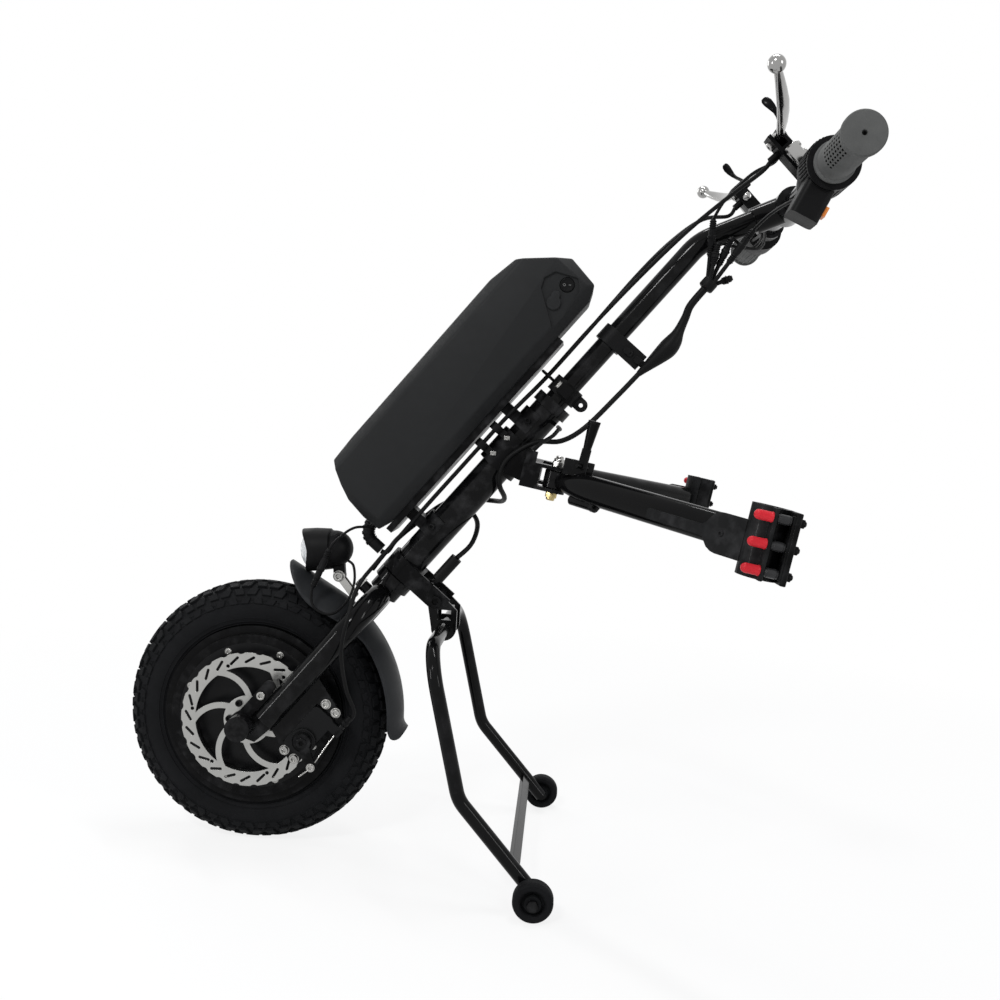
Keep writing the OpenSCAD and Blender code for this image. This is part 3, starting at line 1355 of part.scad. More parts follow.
module jaw_left() color("#202122") on_arm(-1) clamp_jaw();
module jaw_right() color("#202122") on_arm(1) clamp_jaw();
module clamp_caps_left() color("#cf3840") on_arm(-1) clamp_caps();
module clamp_caps_right() color("#cf3840") on_arm(1) clamp_caps();

// Stand
module stand_bracket() color("#1b1f22") on_axis() difference() {
  union() {
    translate([0, 0, bracket_low]) cylinder(r = head_tube_r + bracket_wall, h = bracket_plate_h);
    both() slab(bracket_plate_in, bracket_plate_t)
      polygon([[0, bracket_low], [bracket_reach - bracket_cut, bracket_low],
        [bracket_reach, bracket_low + bracket_cut],
        [bracket_reach, bracket_low + bracket_plate_h], [0, bracket_low + bracket_plate_h]]);
    block([0, -bracket_plate_in - play, bracket_low],
      [head_tube_r + bracket_wall, bracket_plate_in + play, bracket_low + bracket_plate_h]);
  }
  translate([0, 0, bracket_low - over]) cylinder(r = head_tube_r + fit, h = bracket_plate_h + 2 * over);
  translate([pivot_lx, 0, pivot_lz])
    bar_y(stand_bolt_r + fit, -2 * bracket_plate_in, 2 * bracket_plate_in);
}
module stand_frame() color("#1d1e1f") put() {
  knee = stand_turn_r * tan((stand_low_lean - stand_lean) / 2);
  difference() {
    both()
      slab(bracket_plate_in - gap - hanger_t, hanger_t) {
      difference() {
        union() {
          translate([pivot_x, pivot_z]) circle(hanger_r);
          polygon([[pivot_x - hanger_r, pivot_z], [pivot_x + hanger_r, pivot_z + hanger_r / 2],
            [cross_x + hanger_w / 2, pivot_z - hanger_r], [cross_x + hanger_w / 2, cross_z],
              [cross_x - hanger_w / 2, cross_z]]);
          translate([cross_x, cross_z]) circle(hanger_w / 2);
        }
        translate([cross_x - hanger_w / 2 + hanger_bar, cross_z + stand_r + over])
          square([hanger_w - 2 * hanger_bar, hanger_drop - stand_r - hanger_r - over]);
      }
    }
    translate([pivot_x, 0, pivot_z])
      bar_y(stand_bolt_r + fit, -2 * bracket_plate_in, 2 * bracket_plate_in);
  }
  translate([cross_x, 0, cross_z]) {
    bar_y(stand_r, -stand_y + stand_bend_r - gap, stand_y - stand_bend_r + gap);
    both() rotate([0, -stand_lean, 0]) {
      translate([0, stand_y - stand_bend_r, -stand_bend_r]) rotate([90, 0, 90])
        rotate_extrude(angle = 90) translate([stand_bend_r, 0]) circle(stand_r - fit);
      translate([0, stand_y, -stand_leg + knee - gap])
        cylinder(r = stand_r, h = stand_leg - knee + 2 * gap - stand_bend_r);
      translate([stand_turn_r, stand_y, -stand_leg + knee]) rotate([-90, 0, 0])
        rotate([0, 0, 180 - stand_low_lean + stand_lean])
        rotate_extrude(angle = stand_low_lean - stand_lean) translate([stand_turn_r, 0])
          circle(stand_r - fit);
    }
  }
  both() translate([foot_x, stand_y, roller_r]) {
    rotate([0, -stand_low_lean, 0]) cylinder(r = stand_r, h = low_len - knee + gap);
    bar_y(stand_stub_r, 0, stand_r + roller_gap);
    bar_y(roller_bolt_r, 0, stand_r + roller_gap + roller_w + roller_gap + roller_bolt_head_h);
    bar_y(roller_bolt_head_r, stand_r + 2 * roller_gap + roller_w, stand_r + 2 * roller_gap + roller_w
      + roller_bolt_head_h, $fn = 6);
  }
  translate([foot_x, 0, roller_r]) rotate([0, -stand_low_lean, 0])
    block([-brace_t / 2, -stand_y, brace_up - brace_w / 2],
    [brace_t / 2, stand_y, brace_up + brace_w / 2]);
}
module roller() put() translate([foot_x, stand_y + stand_r + roller_gap, roller_r]) turned()
  difference() {
  union() {
    translate([roller_bolt_r + fit, gap / 2]) square([roller_hub_r - roller_bolt_r, roller_w - gap]);
    translate([roller_hub_r - play, roller_w / 3])
      square([roller_r - roller_hub_r - roller_tread_r, roller_w / 3]);
    translate([roller_r - roller_tread_r - play, gap])
      square([play + roller_tread_r / 2, roller_w - 2 * gap]);
    translate([roller_r - roller_tread_r, roller_tread_r])
      square([roller_tread_r, roller_w - 2 * roller_tread_r]);
    for (y = [roller_tread_r, roller_w - roller_tread_r]) translate([roller_r - roller_tread_r, y])
      circle(roller_tread_r - gap / 2);
  }
}
module roller_left() color("#1a1b1c") mirror([0, 1, 0]) roller();
module roller_right() color("#1a1b1c") roller();

// Battery and its mounting
// Outline shares of the battery, out from the tube and up its length
module battery_case() color("#2a2c2e") on_axis() difference() {
  intersection() {
    slab(-battery_w / 2, battery_w) polygon([for (s = battery_shares)
      [-battery_off - s[0] * battery_h, battery_low + s[1] * battery_len]]);
    translate([-battery_off - battery_h / 2, 0, battery_low]) linear_extrude(battery_len)
      polygon(chamfered(battery_h, battery_w, battery_chamfer));
    translate([-battery_off - battery_h, 0, battery_low + battery_len / 2]) rotate([0, 90, 0])
      linear_extrude(battery_h)
      polygon(chamfered(battery_len, battery_w, battery_chamfer));
  }
  slab(-battery_w / 2 - over, over + recess_d) polygon([for (s = recess_shares)
    [-battery_off - s[0] * battery_h, battery_low + battery_len - s[1] * recess_len]]);
  rocker_place() translate([0, 0, -rocker_t - rocker_swing])
    cylinder(r = rocker_r + gap, h = rocker_t + rocker_swing + over);
  port_place() translate([0, 0, -port_t]) cylinder(r = port_r - play, h = port_t);
}
// An outline with its corners cut at 45 degrees
function chamfered(w, h, c) = [[-w / 2 + c, -h / 2], [w / 2 - c, -h / 2], [w / 2, -h / 2 + c],
  [w / 2, h / 2 - c],
  [w / 2 - c, h / 2], [-w / 2 + c, h / 2], [-w / 2, h / 2 - c], [-w / 2, -h / 2 + c]];
module rocker_place() translate([-rocker_x, -battery_w / 2 + recess_d, rocker_z]) rotate([90, 0, 0])
  children();
module port_place() translate([-port_x, -battery_w / 2 + recess_d, port_z]) rotate([90, 0, 0]) children();
module power_rocker() color("#101111") on_axis() rocker_place() translate([0, 0, -rocker_t])
  cylinder(r = rocker_r, h = rocker_t + rocker_rim);
module charge_cap() color("#1a1b1b") on_axis() port_place() linear_extrude(port_t) {
  circle(port_r);
  translate([-port_hinge_x, port_hinge_step]) circle(port_hinge_r);
}
module battery_rail() color("#191a1b") on_axis() {
  block([-battery_off, -rail_w / 2, rail_low], [-battery_off + rail_t, rail_w / 2,
    rail_low + rail_len]);
}
module battery_brackets() color("#1b1c1d") on_axis() for (z = saddle_places) difference() {
  union() {
    intersection() {
      translate([0, 0, z]) cylinder(r = head_tube_r + saddle_wall, h = saddle_h);
      translate([-2 * cup_r, -2 * cup_r, z]) cube([2 * cup_r, 4 * cup_r, saddle_h]);
    }
    block([-battery_off + rail_t, -post_w / 2, z], [-head_tube_r, post_w / 2, z + post_h]);
  }
  translate([0, 0, z - over]) cylinder(r = head_tube_r + fit, h = saddle_h + 2 * over);
}
module cable_clips() color("#161717") on_axis() for (z = clip_places) difference() {
  union() {
    translate([-clip_x, -clip_y, z]) cylinder(r = clip_r, h = clip_h);
    block([-clip_x, -clip_y, z], [0, -clip_y + clip_wall, z + clip_h]);
  }
  translate([-clip_x, -clip_y, z - over]) cylinder(r = clip_r - clip_wall, h = clip_h + 2 * over);
  translate([0, 0, z - over]) cylinder(r = head_tube_r + yoke_wall + fit, h = clip_h + 2 * over);
}

head_tube();
headset_cups();
yoke();
frame_bolts();
battery_rail();
battery_brackets();
cable_clips();
stand_bracket();
motor_lead();
release_cable();
controller_boot();
battery_case();
power_rocker();
charge_cap();
fork();
stem();
stem_collar();
handlebar();
left_grip();
switch_box();
light_slider();
horn_button();
throttle_housing();
throttle_grip();
bracket_left();
bracket_right();
lever_left();
lever_right();
lock_left();
lock_right();
fender();
headlight_shell();
headlight_lens();
headlight_bracket();
caliper();
caliper_arm();
axle();
axle_caps();
torque_arm();
harness_band();
harness_plug();
steering_bolts();
control_cables();
tyre();
hub_shell();
hub_covers();
wheel_screws();
rotor();
arm_left();
arm_right();
clamp_left();
clamp_right();
jaw_left();
jaw_right();
clamp_caps_left();
clamp_caps_right();
coupling_lever();
stand_frame();
roller_left();
roller_right();
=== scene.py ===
import json
from math import cos, pi, radians, sin, sqrt

import bmesh
import bpy
from mathutils import Matrix, Vector
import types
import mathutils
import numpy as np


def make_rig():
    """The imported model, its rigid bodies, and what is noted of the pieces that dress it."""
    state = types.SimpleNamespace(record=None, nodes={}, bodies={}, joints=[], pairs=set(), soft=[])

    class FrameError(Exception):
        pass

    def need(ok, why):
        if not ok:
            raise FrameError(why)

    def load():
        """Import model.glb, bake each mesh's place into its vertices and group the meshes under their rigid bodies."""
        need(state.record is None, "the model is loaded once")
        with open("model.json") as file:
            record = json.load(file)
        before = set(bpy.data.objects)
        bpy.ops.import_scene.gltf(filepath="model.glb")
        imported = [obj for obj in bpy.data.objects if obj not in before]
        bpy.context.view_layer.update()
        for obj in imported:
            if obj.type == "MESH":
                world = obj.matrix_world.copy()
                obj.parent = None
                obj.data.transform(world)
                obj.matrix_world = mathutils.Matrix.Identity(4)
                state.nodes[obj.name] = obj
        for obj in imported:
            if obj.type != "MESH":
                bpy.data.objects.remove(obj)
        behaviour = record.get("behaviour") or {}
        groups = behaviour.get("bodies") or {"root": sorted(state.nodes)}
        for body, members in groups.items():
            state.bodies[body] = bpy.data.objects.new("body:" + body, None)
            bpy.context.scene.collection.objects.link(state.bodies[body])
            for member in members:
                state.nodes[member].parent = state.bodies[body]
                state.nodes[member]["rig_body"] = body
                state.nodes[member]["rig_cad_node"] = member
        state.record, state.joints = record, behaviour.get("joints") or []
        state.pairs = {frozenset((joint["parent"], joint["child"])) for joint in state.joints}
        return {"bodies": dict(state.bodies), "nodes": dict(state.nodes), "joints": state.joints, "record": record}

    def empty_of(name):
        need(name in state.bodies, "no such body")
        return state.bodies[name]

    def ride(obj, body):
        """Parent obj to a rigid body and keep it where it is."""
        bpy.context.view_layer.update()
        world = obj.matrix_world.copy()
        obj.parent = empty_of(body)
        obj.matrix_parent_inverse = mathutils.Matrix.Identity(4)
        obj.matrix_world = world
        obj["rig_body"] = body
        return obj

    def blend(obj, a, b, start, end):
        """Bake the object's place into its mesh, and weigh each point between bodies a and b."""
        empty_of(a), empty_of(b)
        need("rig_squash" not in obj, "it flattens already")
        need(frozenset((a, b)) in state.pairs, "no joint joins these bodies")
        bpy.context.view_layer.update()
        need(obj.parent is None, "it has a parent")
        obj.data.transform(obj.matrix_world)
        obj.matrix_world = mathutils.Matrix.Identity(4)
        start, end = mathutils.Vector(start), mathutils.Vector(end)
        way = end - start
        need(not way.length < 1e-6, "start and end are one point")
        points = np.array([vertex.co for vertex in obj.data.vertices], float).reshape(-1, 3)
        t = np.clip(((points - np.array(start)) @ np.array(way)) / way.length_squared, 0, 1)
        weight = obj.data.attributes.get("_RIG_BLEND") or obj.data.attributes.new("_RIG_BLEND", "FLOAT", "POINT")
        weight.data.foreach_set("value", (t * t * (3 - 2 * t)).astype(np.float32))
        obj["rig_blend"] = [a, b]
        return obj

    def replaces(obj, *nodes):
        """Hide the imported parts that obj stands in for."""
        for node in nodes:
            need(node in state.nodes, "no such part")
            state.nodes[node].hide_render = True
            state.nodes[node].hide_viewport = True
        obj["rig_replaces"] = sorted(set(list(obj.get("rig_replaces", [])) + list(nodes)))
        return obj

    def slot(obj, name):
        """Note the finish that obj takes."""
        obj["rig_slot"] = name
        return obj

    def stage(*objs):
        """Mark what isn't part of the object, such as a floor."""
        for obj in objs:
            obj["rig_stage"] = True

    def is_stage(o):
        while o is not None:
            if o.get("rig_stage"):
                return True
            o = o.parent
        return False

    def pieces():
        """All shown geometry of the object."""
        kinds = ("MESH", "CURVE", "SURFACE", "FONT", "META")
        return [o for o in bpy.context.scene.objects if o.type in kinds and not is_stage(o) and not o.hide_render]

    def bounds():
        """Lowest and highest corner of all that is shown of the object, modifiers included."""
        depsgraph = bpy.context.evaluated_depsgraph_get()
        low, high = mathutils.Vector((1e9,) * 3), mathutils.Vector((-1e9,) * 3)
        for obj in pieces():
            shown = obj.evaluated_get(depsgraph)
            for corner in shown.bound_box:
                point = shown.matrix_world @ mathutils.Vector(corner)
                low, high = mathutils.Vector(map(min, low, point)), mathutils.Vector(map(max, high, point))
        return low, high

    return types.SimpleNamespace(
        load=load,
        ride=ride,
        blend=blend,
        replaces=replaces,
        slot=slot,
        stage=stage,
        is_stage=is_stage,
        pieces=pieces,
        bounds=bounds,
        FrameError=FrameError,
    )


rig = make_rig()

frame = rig.load()
cad_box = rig.bounds()
NODES = frame["nodes"]
JOINTS = {j["name"]: j for j in frame["joints"]}
MM = 0.001
LEFT = Vector((0, -1, 0))
RIGHT = Vector((0, 1, 0))
HANDS = {"left": -1, "right": 1}


class Place:
    """Turns millimetres of its own axes into metres of the row frame; hand is -1 where y points left."""

    def __init__(self, at, x, z, hand=1):
        self.at = Vector(at)
        self.x = Vector(x).normalized()
        self.z = Vector(z).normalized()
        self.y = self.z.cross(self.x) * hand

    def __call__(self, x, y, z):
        return self.at + (self.x * x + self.y * y + self.z * z) * MM


def aimed(at, along):
    """A place at a point in metres with its z axis along a direction."""
    along = Vector(along).normalized()
    side = RIGHT if abs(along.y) < 0.8 else Vector((1, 0, 0))
    return Place(at, side - along * side.dot(along), along)


def middle_of(joint):
    """A joint's place in metres, moved to the middle plane."""
    x, _, z = JOINTS[joint]["pos_m"]
    return Vector((x, 0, z))


def along_joint(joint, at):
    """A place with its z axis along a joint's axis and its y axis to the rider's right."""
    axis = Vector(JOINTS[joint]["axis"])
    return Place(at, RIGHT.cross(axis), axis)


AXLE_AT = middle_of("wheel_spin")
BAR_AT = middle_of("throttle_twist")
STEER = along_joint("steer", middle_of("steer"))
YOKE = along_joint("left_arm_swing", middle_of("left_arm_swing"))
LEVER = along_joint("right_brake_lever", BAR_AT)
WHEEL = Place(AXLE_AT, (1, 0, 0), (0, 0, 1))
LAMP_AT = Vector((-173.04, 0, 358.5)) * MM
LAMP_LEAN = radians(84)
LAMP = Place(LAMP_AT, (cos(LAMP_LEAN), 0, -sin(LAMP_LEAN)), (sin(LAMP_LEAN), 0, cos(LAMP_LEAN)))


def new_object(name, data):
    obj = bpy.data.objects.new(name, data)
    bpy.context.scene.collection.objects.link(obj)
    return obj


# Materials
def empty_tree(owner):
    owner.use_nodes = True
    owner.node_tree.nodes.clear()
    return owner.node_tree


def set_inputs(node, **values):
    for key, value in values.items():
        node.inputs[key.replace("_", " ")].default_value = value


def add_node(tree, kind, **values):
    """A node with constants set on its named sockets."""
    node = tree.nodes.new(kind)
    set_inputs(node, **values)
    return node


def math_node(tree, operation, a, b):
    node = tree.nodes.new("ShaderNodeMath")
    node.operation = operation
    tree.links.new(a, node.inputs[0])
    tree.links.new(b, node.inputs[1])
    return node.outputs[0]


class Nodes:
    """Short calls for building one material's node tree."""

    def __init__(self, name):
        self.mat = bpy.data.materials.new(name)
        self.tree = empty_tree(self.mat)
        self.bsdf = self.tree.nodes.new("ShaderNodeBsdfPrincipled")
        self.link(self.bsdf.outputs[0], self.tree.nodes.new("ShaderNodeOutputMaterial").inputs[0])
        self.coord = self.tree.nodes.new("ShaderNodeTexCoord").outputs["Object"]

    def link(self, a, b):
        self.tree.links.new(a, b)

    def texture(self, kind, output, **values):
        node = add_node(self.tree, kind, **values)
        self.link(self.coord, node.inputs["Vector"])
        return node.outputs[output]

    def noise(self, scale, detail=4.0, rough=0.55):
        return self.texture("ShaderNodeTexNoise", "Fac", Scale=scale, Detail=detail, Roughness=rough)

    def spread(self, value, low, high, start=0.3, stop=0.7):
        node = add_node(self.tree, "ShaderNodeMapRange", From_Min=start, From_Max=stop, To_Min=low,
                        To_Max=high)
        self.link(value, node.inputs["Value"])
        return node.outputs[0]

    def mix(self, factor, a, b):
        node = self.tree.nodes.new("ShaderNodeMix")
        node.data_type = "RGBA"
        colours = [s for s in node.inputs if s.type == "RGBA"]
        for socket, value in zip(colours, (a, b)):
            if hasattr(value, "is_output"):
                self.link(value, socket)
            else:
                socket.default_value = (*value, 1)
        self.link(factor, node.inputs["Factor"])
        return [s for s in node.outputs if s.type == "RGBA"][0]

    def edges(self, start=0.52, stop=0.6):
        geometry = self.tree.nodes.new("ShaderNodeNewGeometry")
        return self.spread(geometry.outputs["Pointiness"], 0, 1, start, stop)

    def worn_edges(self, scale, detail, most, start):
        """A share that is high where noise and edges meet."""
        patches = self.spread(self.noise(scale, detail), 0, most, start)
        return math_node(self.tree, "MULTIPLY", self.edges(), patches)

    def surface(self, colour, rough):
        self.link(colour, self.bsdf.inputs["Base Color"])
        self.link(rough, self.bsdf.inputs["Roughness"])

    def bump(self, height, strength, distance, rounded=0.0):
        node = add_node(self.tree, "ShaderNodeBump", Strength=strength, Distance=distance)
        self.link(height, node.inputs["Height"])
        if rounded:
            bevel = add_node(self.tree, "ShaderNodeBevel", Radius=rounded)
            bevel.samples = 4
            self.link(bevel.outputs[0], node.inputs["Normal"])
        self.link(node.outputs[0], self.bsdf.inputs["Normal"])


def shade(colour, k):
    return tuple(min(c * k, 1.0) for c in colour)


SCUFF = (0.08, 0.08, 0.083)
LENS_COLOURS = (0.86, 0.88, 0.9), (0.97, 0.98, 0.98)


def paint(name, colour, rough=0.1, coat=0.07, wear=0.2, spec=0.06):
    """Sprayed enamel: slight orange peel, dust and rubbed edges."""
    n = Nodes(name)
    base = n.mix(n.spread(n.noise(9, 5), 0, 1), shade(colour, 0.75), shade(colour, 1.3))
    n.surface(n.mix(n.worn_edges(60, 6, wear, 0.45), base, SCUFF),
              n.spread(n.noise(35, 6), rough * 0.7, rough * 1.7))
    n.bump(n.noise(420, 2), 0.05, 0.0004, rounded=0.0008)
    set_inputs(n.bsdf, Coat_Weight=coat, Coat_Roughness=0.05, Specular_IOR_Level=spec)
    return n.mat


def plastic(name, colour, rough=0.5, grain=1400, depth=0.25, vary=0.12, spec=0.12):
    """Moulded plastic with a fine eroded grain and faint handling marks."""
    n = Nodes(name)
    base = n.mix(n.spread(n.noise(7, 5), 0, 1), shade(colour, 1 - vary), shade(colour, 1 + vary))
    n.surface(n.mix(n.worn_edges(90, 5, 0.35, 0.4), base, shade(colour, 2.2)),
              n.spread(n.noise(24, 5), rough * 0.85, rough * 1.2))
    n.bump(n.noise(grain, 3, 0.7), depth, 0.0003, rounded=0.0008)
    set_inputs(n.bsdf, Specular_IOR_Level=spec)
    return n.mat


def rubber(name, colour, rough=0.75, grain=700, depth=0.3, dust=0.25, spec=0.08):
    """Moulded rubber: matt, with dust lying in the pores."""
    n = Nodes(name)
    base = n.mix(n.spread(n.noise(16, 6), 0, 1), shade(colour, 0.75), shade(colour, 1.35))
    dusty = n.spread(n.noise(38, 7, 0.65), 0, dust, 0.48, 0.8)
    n.surface(n.mix(dusty, base, shade(colour, 2.6)),
              n.spread(n.noise(50, 5), rough * 0.88, min(rough * 1.15, 1)))
    n.bump(n.noise(grain, 4, 0.6), depth, 0.0004, rounded=0.0006)
    set_inputs(n.bsdf, Specular_IOR_Level=spec)
    return n.mat


def metal(name, colour, rough=0.25, scale=300, depth=0.05, stain=0.2):
    """Bare metal: fine working marks, finger stains and brighter edges."""
    n = Nodes(name)
    marks = n.noise(scale, 3, 0.6)
    base = n.mix(n.spread(n.noise(14, 6), 0, 1), shade(colour, 1 - stain), shade(colour, 1.08))
    n.surface(n.mix(n.edges(0.53, 0.62), base, shade(colour, 1.25)),
              n.spread(marks, rough * 0.75, rough * 1.35))
    n.bump(marks, depth, 0.0002, rounded=0.0004)
    set_inputs(n.bsdf, Metallic=1.0)
    return n.mat


def lens(name):
    """Clear moulded lens with a faint prismatic ripple."""
    n = Nodes(name)
    n.surface(n.mix(n.spread(n.noise(60, 3), 0, 1), *LENS_COLOURS), n.spread(n.noise(80, 4), 0.03, 0.1))
    n.bump(n.texture("ShaderNodeTexVoronoi", "Distance", Scale=240), 0.2, 0.0006)
    set_inputs(n.bsdf, Transmission_Weight=0.55, IOR=1.5)
    return n.mat


BLACK_PAINT = paint("black_paint", (0.003, 0.003, 0.0032))
SATIN_PAINT = paint("satin_black", (0.003, 0.003, 0.0032), rough=0.3, coat=0.02, wear=0.25, spec=0.05)
PLATE_PAINT = paint("plate_black", (0.009, 0.0092, 0.0096), rough=0.42, coat=0.02, wear=0.25)
DARK_STEEL = paint("dark_steel", (0.02, 0.02, 0.021), rough=0.25, coat=0.05, wear=0.3, spec=0.2)
CASE_PLASTIC = plastic("battery_plastic", (0.0125, 0.013, 0.0135), grain=1800, depth=0.3, vary=0.1)
BLACK_PLASTIC = plastic("black_plastic", (0.0055, 0.0055, 0.0058), rough=0.45, spec=0.07)
FENDER_PLASTIC = plastic("fender_plastic", (0.017, 0.018, 0.0195), rough=0.42, grain=900, depth=0.12)
RED_VINYL = plastic("red_vinyl", (0.52, 0.02, 0.03), rough=0.34, grain=600, depth=0.08, vary=0.15)
ORANGE_PLASTIC = plastic("orange_plastic", (0.66, 0.2, 0.045), rough=0.3, grain=600, depth=0.06)
PALE_PRINT = plastic("pale_print", (0.2, 0.2, 0.195), grain=600, depth=0.05)
COVER_ALLOY = plastic("cover_alloy", (0.0045, 0.0046, 0.005), rough=0.32, grain=500, depth=0.15)
TYRE_RUBBER = rubber("tyre_rubber", (0.0052, 0.0054, 0.006), rough=0.7)
CABLE_RUBBER = rubber("cable_rubber", (0.005, 0.005, 0.0052), rough=0.44, grain=1200, depth=0.12, dust=0.08)
GREY_RUBBER = rubber("grip_rubber", (0.085, 0.086, 0.084), rough=0.66, grain=900, depth=0.25, dust=0.05)
ROTOR_STEEL = metal("rotor_steel", (0.3, 0.3, 0.29), rough=0.36, scale=220, depth=0.08)
BRIGHT_STEEL = metal("bright_steel", (0.33, 0.327, 0.315), rough=0.24)
BRASS = metal("yellow_zinc", (0.45, 0.36, 0.17), rough=0.28)
ALLOY = metal("polished_alloy", (0.33, 0.328, 0.322), rough=0.14, depth=0.03, stain=0.15)
CLEAR_LENS = lens("clear_lens")

# The solids that keep their own form; the pieces below stand for the others
NODE_MATERIALS = {
    BLACK_PAINT: ["axle_caps", "head_tube", "fork", "stem", "handlebar", "stand_frame", "arm_right",
                  "headset_cups"],
    SATIN_PAINT: ["yoke", "battery_rail", "battery_brackets", "stand_bracket", "stem_collar", "hub_shell",
                  "torque_arm", "bracket_left", "bracket_right", "coupling_lever", "caliper_arm"],
    CASE_PLASTIC: ["charge_cap"],
    BLACK_PLASTIC: ["cable_clips", "switch_box", "throttle_housing", "harness_band"],
    TYRE_RUBBER: ["roller_left", "roller_right"],
    CABLE_RUBBER: ["motor_lead", "release_cable", "controller_boot"],
    GREY_RUBBER: ["throttle_grip"],
    RED_VINYL: ["horn_button"],
    ORANGE_PLASTIC: ["light_slider"],
    ROTOR_STEEL: ["rotor"],
    BRIGHT_STEEL: ["axle", "headlight_bracket"],
    COVER_ALLOY: ["hub_covers", "caliper"],
}
for material, names in NODE_MATERIALS.items():
    for name in names:
        data = NODES[name].data
        data.materials.clear()
        data.materials.append(material)
        for polygon in data.polygons:
            polygon.material_index = 0


# Outlines
def circle(sides):
    return [2 * pi * k / sides for k in range(sides)]


def arc(x, y, r, start, stop, step):
    """Points about (x, y) at whole degrees, without the stop."""
    return [(x + r * cos(radians(t)), y + r * sin(radians(t))) for t in range(start, stop, step)]


def hexagon(r, sides):
    """The radii of a six-sided outline at each turn of a circle."""
    return [r * cos(pi / 6) / cos(t % (pi / 3) - pi / 6) for t in circle(sides)]


def power(value, exponent):
    """A power that keeps the sign, for rounded sections."""
    return abs(value) ** exponent * (1 if value > 0 else -1)


def knurl(r, start, step, count):
    """The profile of a finger grip's fine grooves."""
    return [(r + 0.5 * (k % 2), start + k * step) for k in range(count)]


# Mesh work
WASHER_H = 0.8


class Shape:
    """Collects closed bodies in one mesh; sizes are millimetres of a place."""

    def __init__(self):
        self.bm = bmesh.new()

    def ring(self, points):
        return [self.bm.verts.new(p) for p in points]

    def strip(self, a, b):
        """Faces between two open rows of points."""
        for k in range(len(a) - 1):
            self.bm.faces.new((a[k], a[k + 1], b[k + 1], b[k]))

    def skin(self, rings, loop=False):
        pairs = list(zip(rings, rings[1:]))
        if loop:
            pairs.append((rings[-1], rings[0]))
        for a, b in pairs:
            self.strip(a + a[:1], b + b[:1])
        if not loop:
            self.bm.faces.new(list(reversed(rings[0])))
            self.bm.faces.new(rings[-1])

    def lathe(self, place, profile, sides=32, loop=False):
        """Turns (radius, height) points about z; a radius may be a list with one for each side."""
        rings = []
        for radius, h in profile:
            radii = radius if isinstance(radius, list) else [radius] * sides
            rings.append(self.ring([place(r * cos(t), r * sin(t), h) for r, t in zip(radii, circle(sides))]))
        self.skin(rings, loop)
        return rings

    def bolt(self, place, r, h, washer=0.0):
        """A socket head with a chamfered rim and a six-sided socket."""
        sides = 24
        socket = hexagon(0.5 * r, sides)
        foot = [(r, 0)]
        if washer:
            foot = [(washer, 0), (washer, WASHER_H), (r * 1.04, WASHER_H), (r, WASHER_H + 0.1)]
        profile = foot + [(r, h * 0.82), (r * 0.86, h), ([s * 1.12 for s in socket], h), (socket, h * 0.92),
                          ([s * 0.96 for s in socket], h * 0.4)]
        self.lathe(place, profile, sides)

    def nut(self, place, r, h, stud):
        """A hexagon nut with its corners turned off and the end of its stud."""
        sides = 48
        corners = hexagon(r, sides)
        turned = [min(q, r * 0.9) for q in corners]
        self.lathe(place, [(turned, 0), (corners, h * 0.14), (corners, h * 0.86), (turned, h), (stud, h),
                           (stud, h + stud * 0.5), (stud * 0.8, h + stud * 0.7)], sides)

    def block(self, place, size, round_r):
        """A box with rounded upright edges and eased ends, its middle at the place's origin."""
        hx, hy, hz = (s / 2 for s in size)
        ease = round_r * 0.5
        rings = []
        for z, inset in ((-hz, ease), (-hz + ease * 0.3, ease * 0.3), (-hz + ease, 0), (hz - ease, 0),
                         (hz - ease * 0.3, ease * 0.3), (hz, ease)):
            points = []
            for cx, cy, start in ((1, 1, 0), (-1, 1, 90), (-1, -1, 180), (1, -1, 270)):
                for step in range(5):
                    t = radians(start + step * 22.5)
                    points.append(place(cx * (hx - round_r) + (round_r - inset) * cos(t),
                                        cy * (hy - round_r) + (round_r - inset) * sin(t), z))
            rings.append(self.ring(points))
        self.skin(rings)

    def tube(self, route, radius, sides=12):
        """A round tube along points in metres; radius may be a list."""
        radii = radius if isinstance(radius, list) else [radius] * len(route)
        side = Vector((0.3, 1, 0.2))
        rings = []
        for i, p in enumerate(route):
            along = (route[min(i + 1, len(route) - 1)] - route[max(i - 1, 0)]).normalized()
            side = (side - along * side.dot(along)).normalized()
            other = along.cross(side)
            reach = radii[i] * MM
            rings.append(self.ring([p + (side * cos(t) + other * sin(t)) * reach for t in circle(sides)]))
        self.skin(rings)

    def slab(self, place, outline, low, high):
        """A flat piece: an outline of (x, z) points between two y levels."""
        self.skin([self.ring([place(x, y, z) for x, z in outline]) for y in (low, high)])

    def bar(self, place, outline, low, high):
        """An upright piece: an outline of (x, y) points between two heights."""
        self.skin([self.ring([place(x, y, z) for x, y in outline]) for z in (low, high)])

    def blade(self, place, stations, z=0.0):
        """A flat bar along (x, y) points with its half width along z and its half thickness."""
        rings = []
        for i, (x, y, wide, thick) in enumerate(stations):
            ahead = Vector(stations[min(i + 1, len(stations) - 1)][:2]) - Vector(stations[max(i - 1, 0)][:2])
            out = Vector((ahead.y, -ahead.x)).normalized()
            ring = []
            for t in circle(20):
                flat = thick * power(cos(t), 0.7)
                ring.append(place(x + out.x * flat, y + out.y * flat, z + wide * sin(t)))
            rings.append(self.ring(ring))
        self.skin(rings)

    def mesh(self, name):
        bmesh.ops.recalc_face_normals(self.bm, faces=self.bm.faces)
        mesh = bpy.data.meshes.new(name)
        self.bm.to_mesh(mesh)
        self.bm.free()
        return mesh


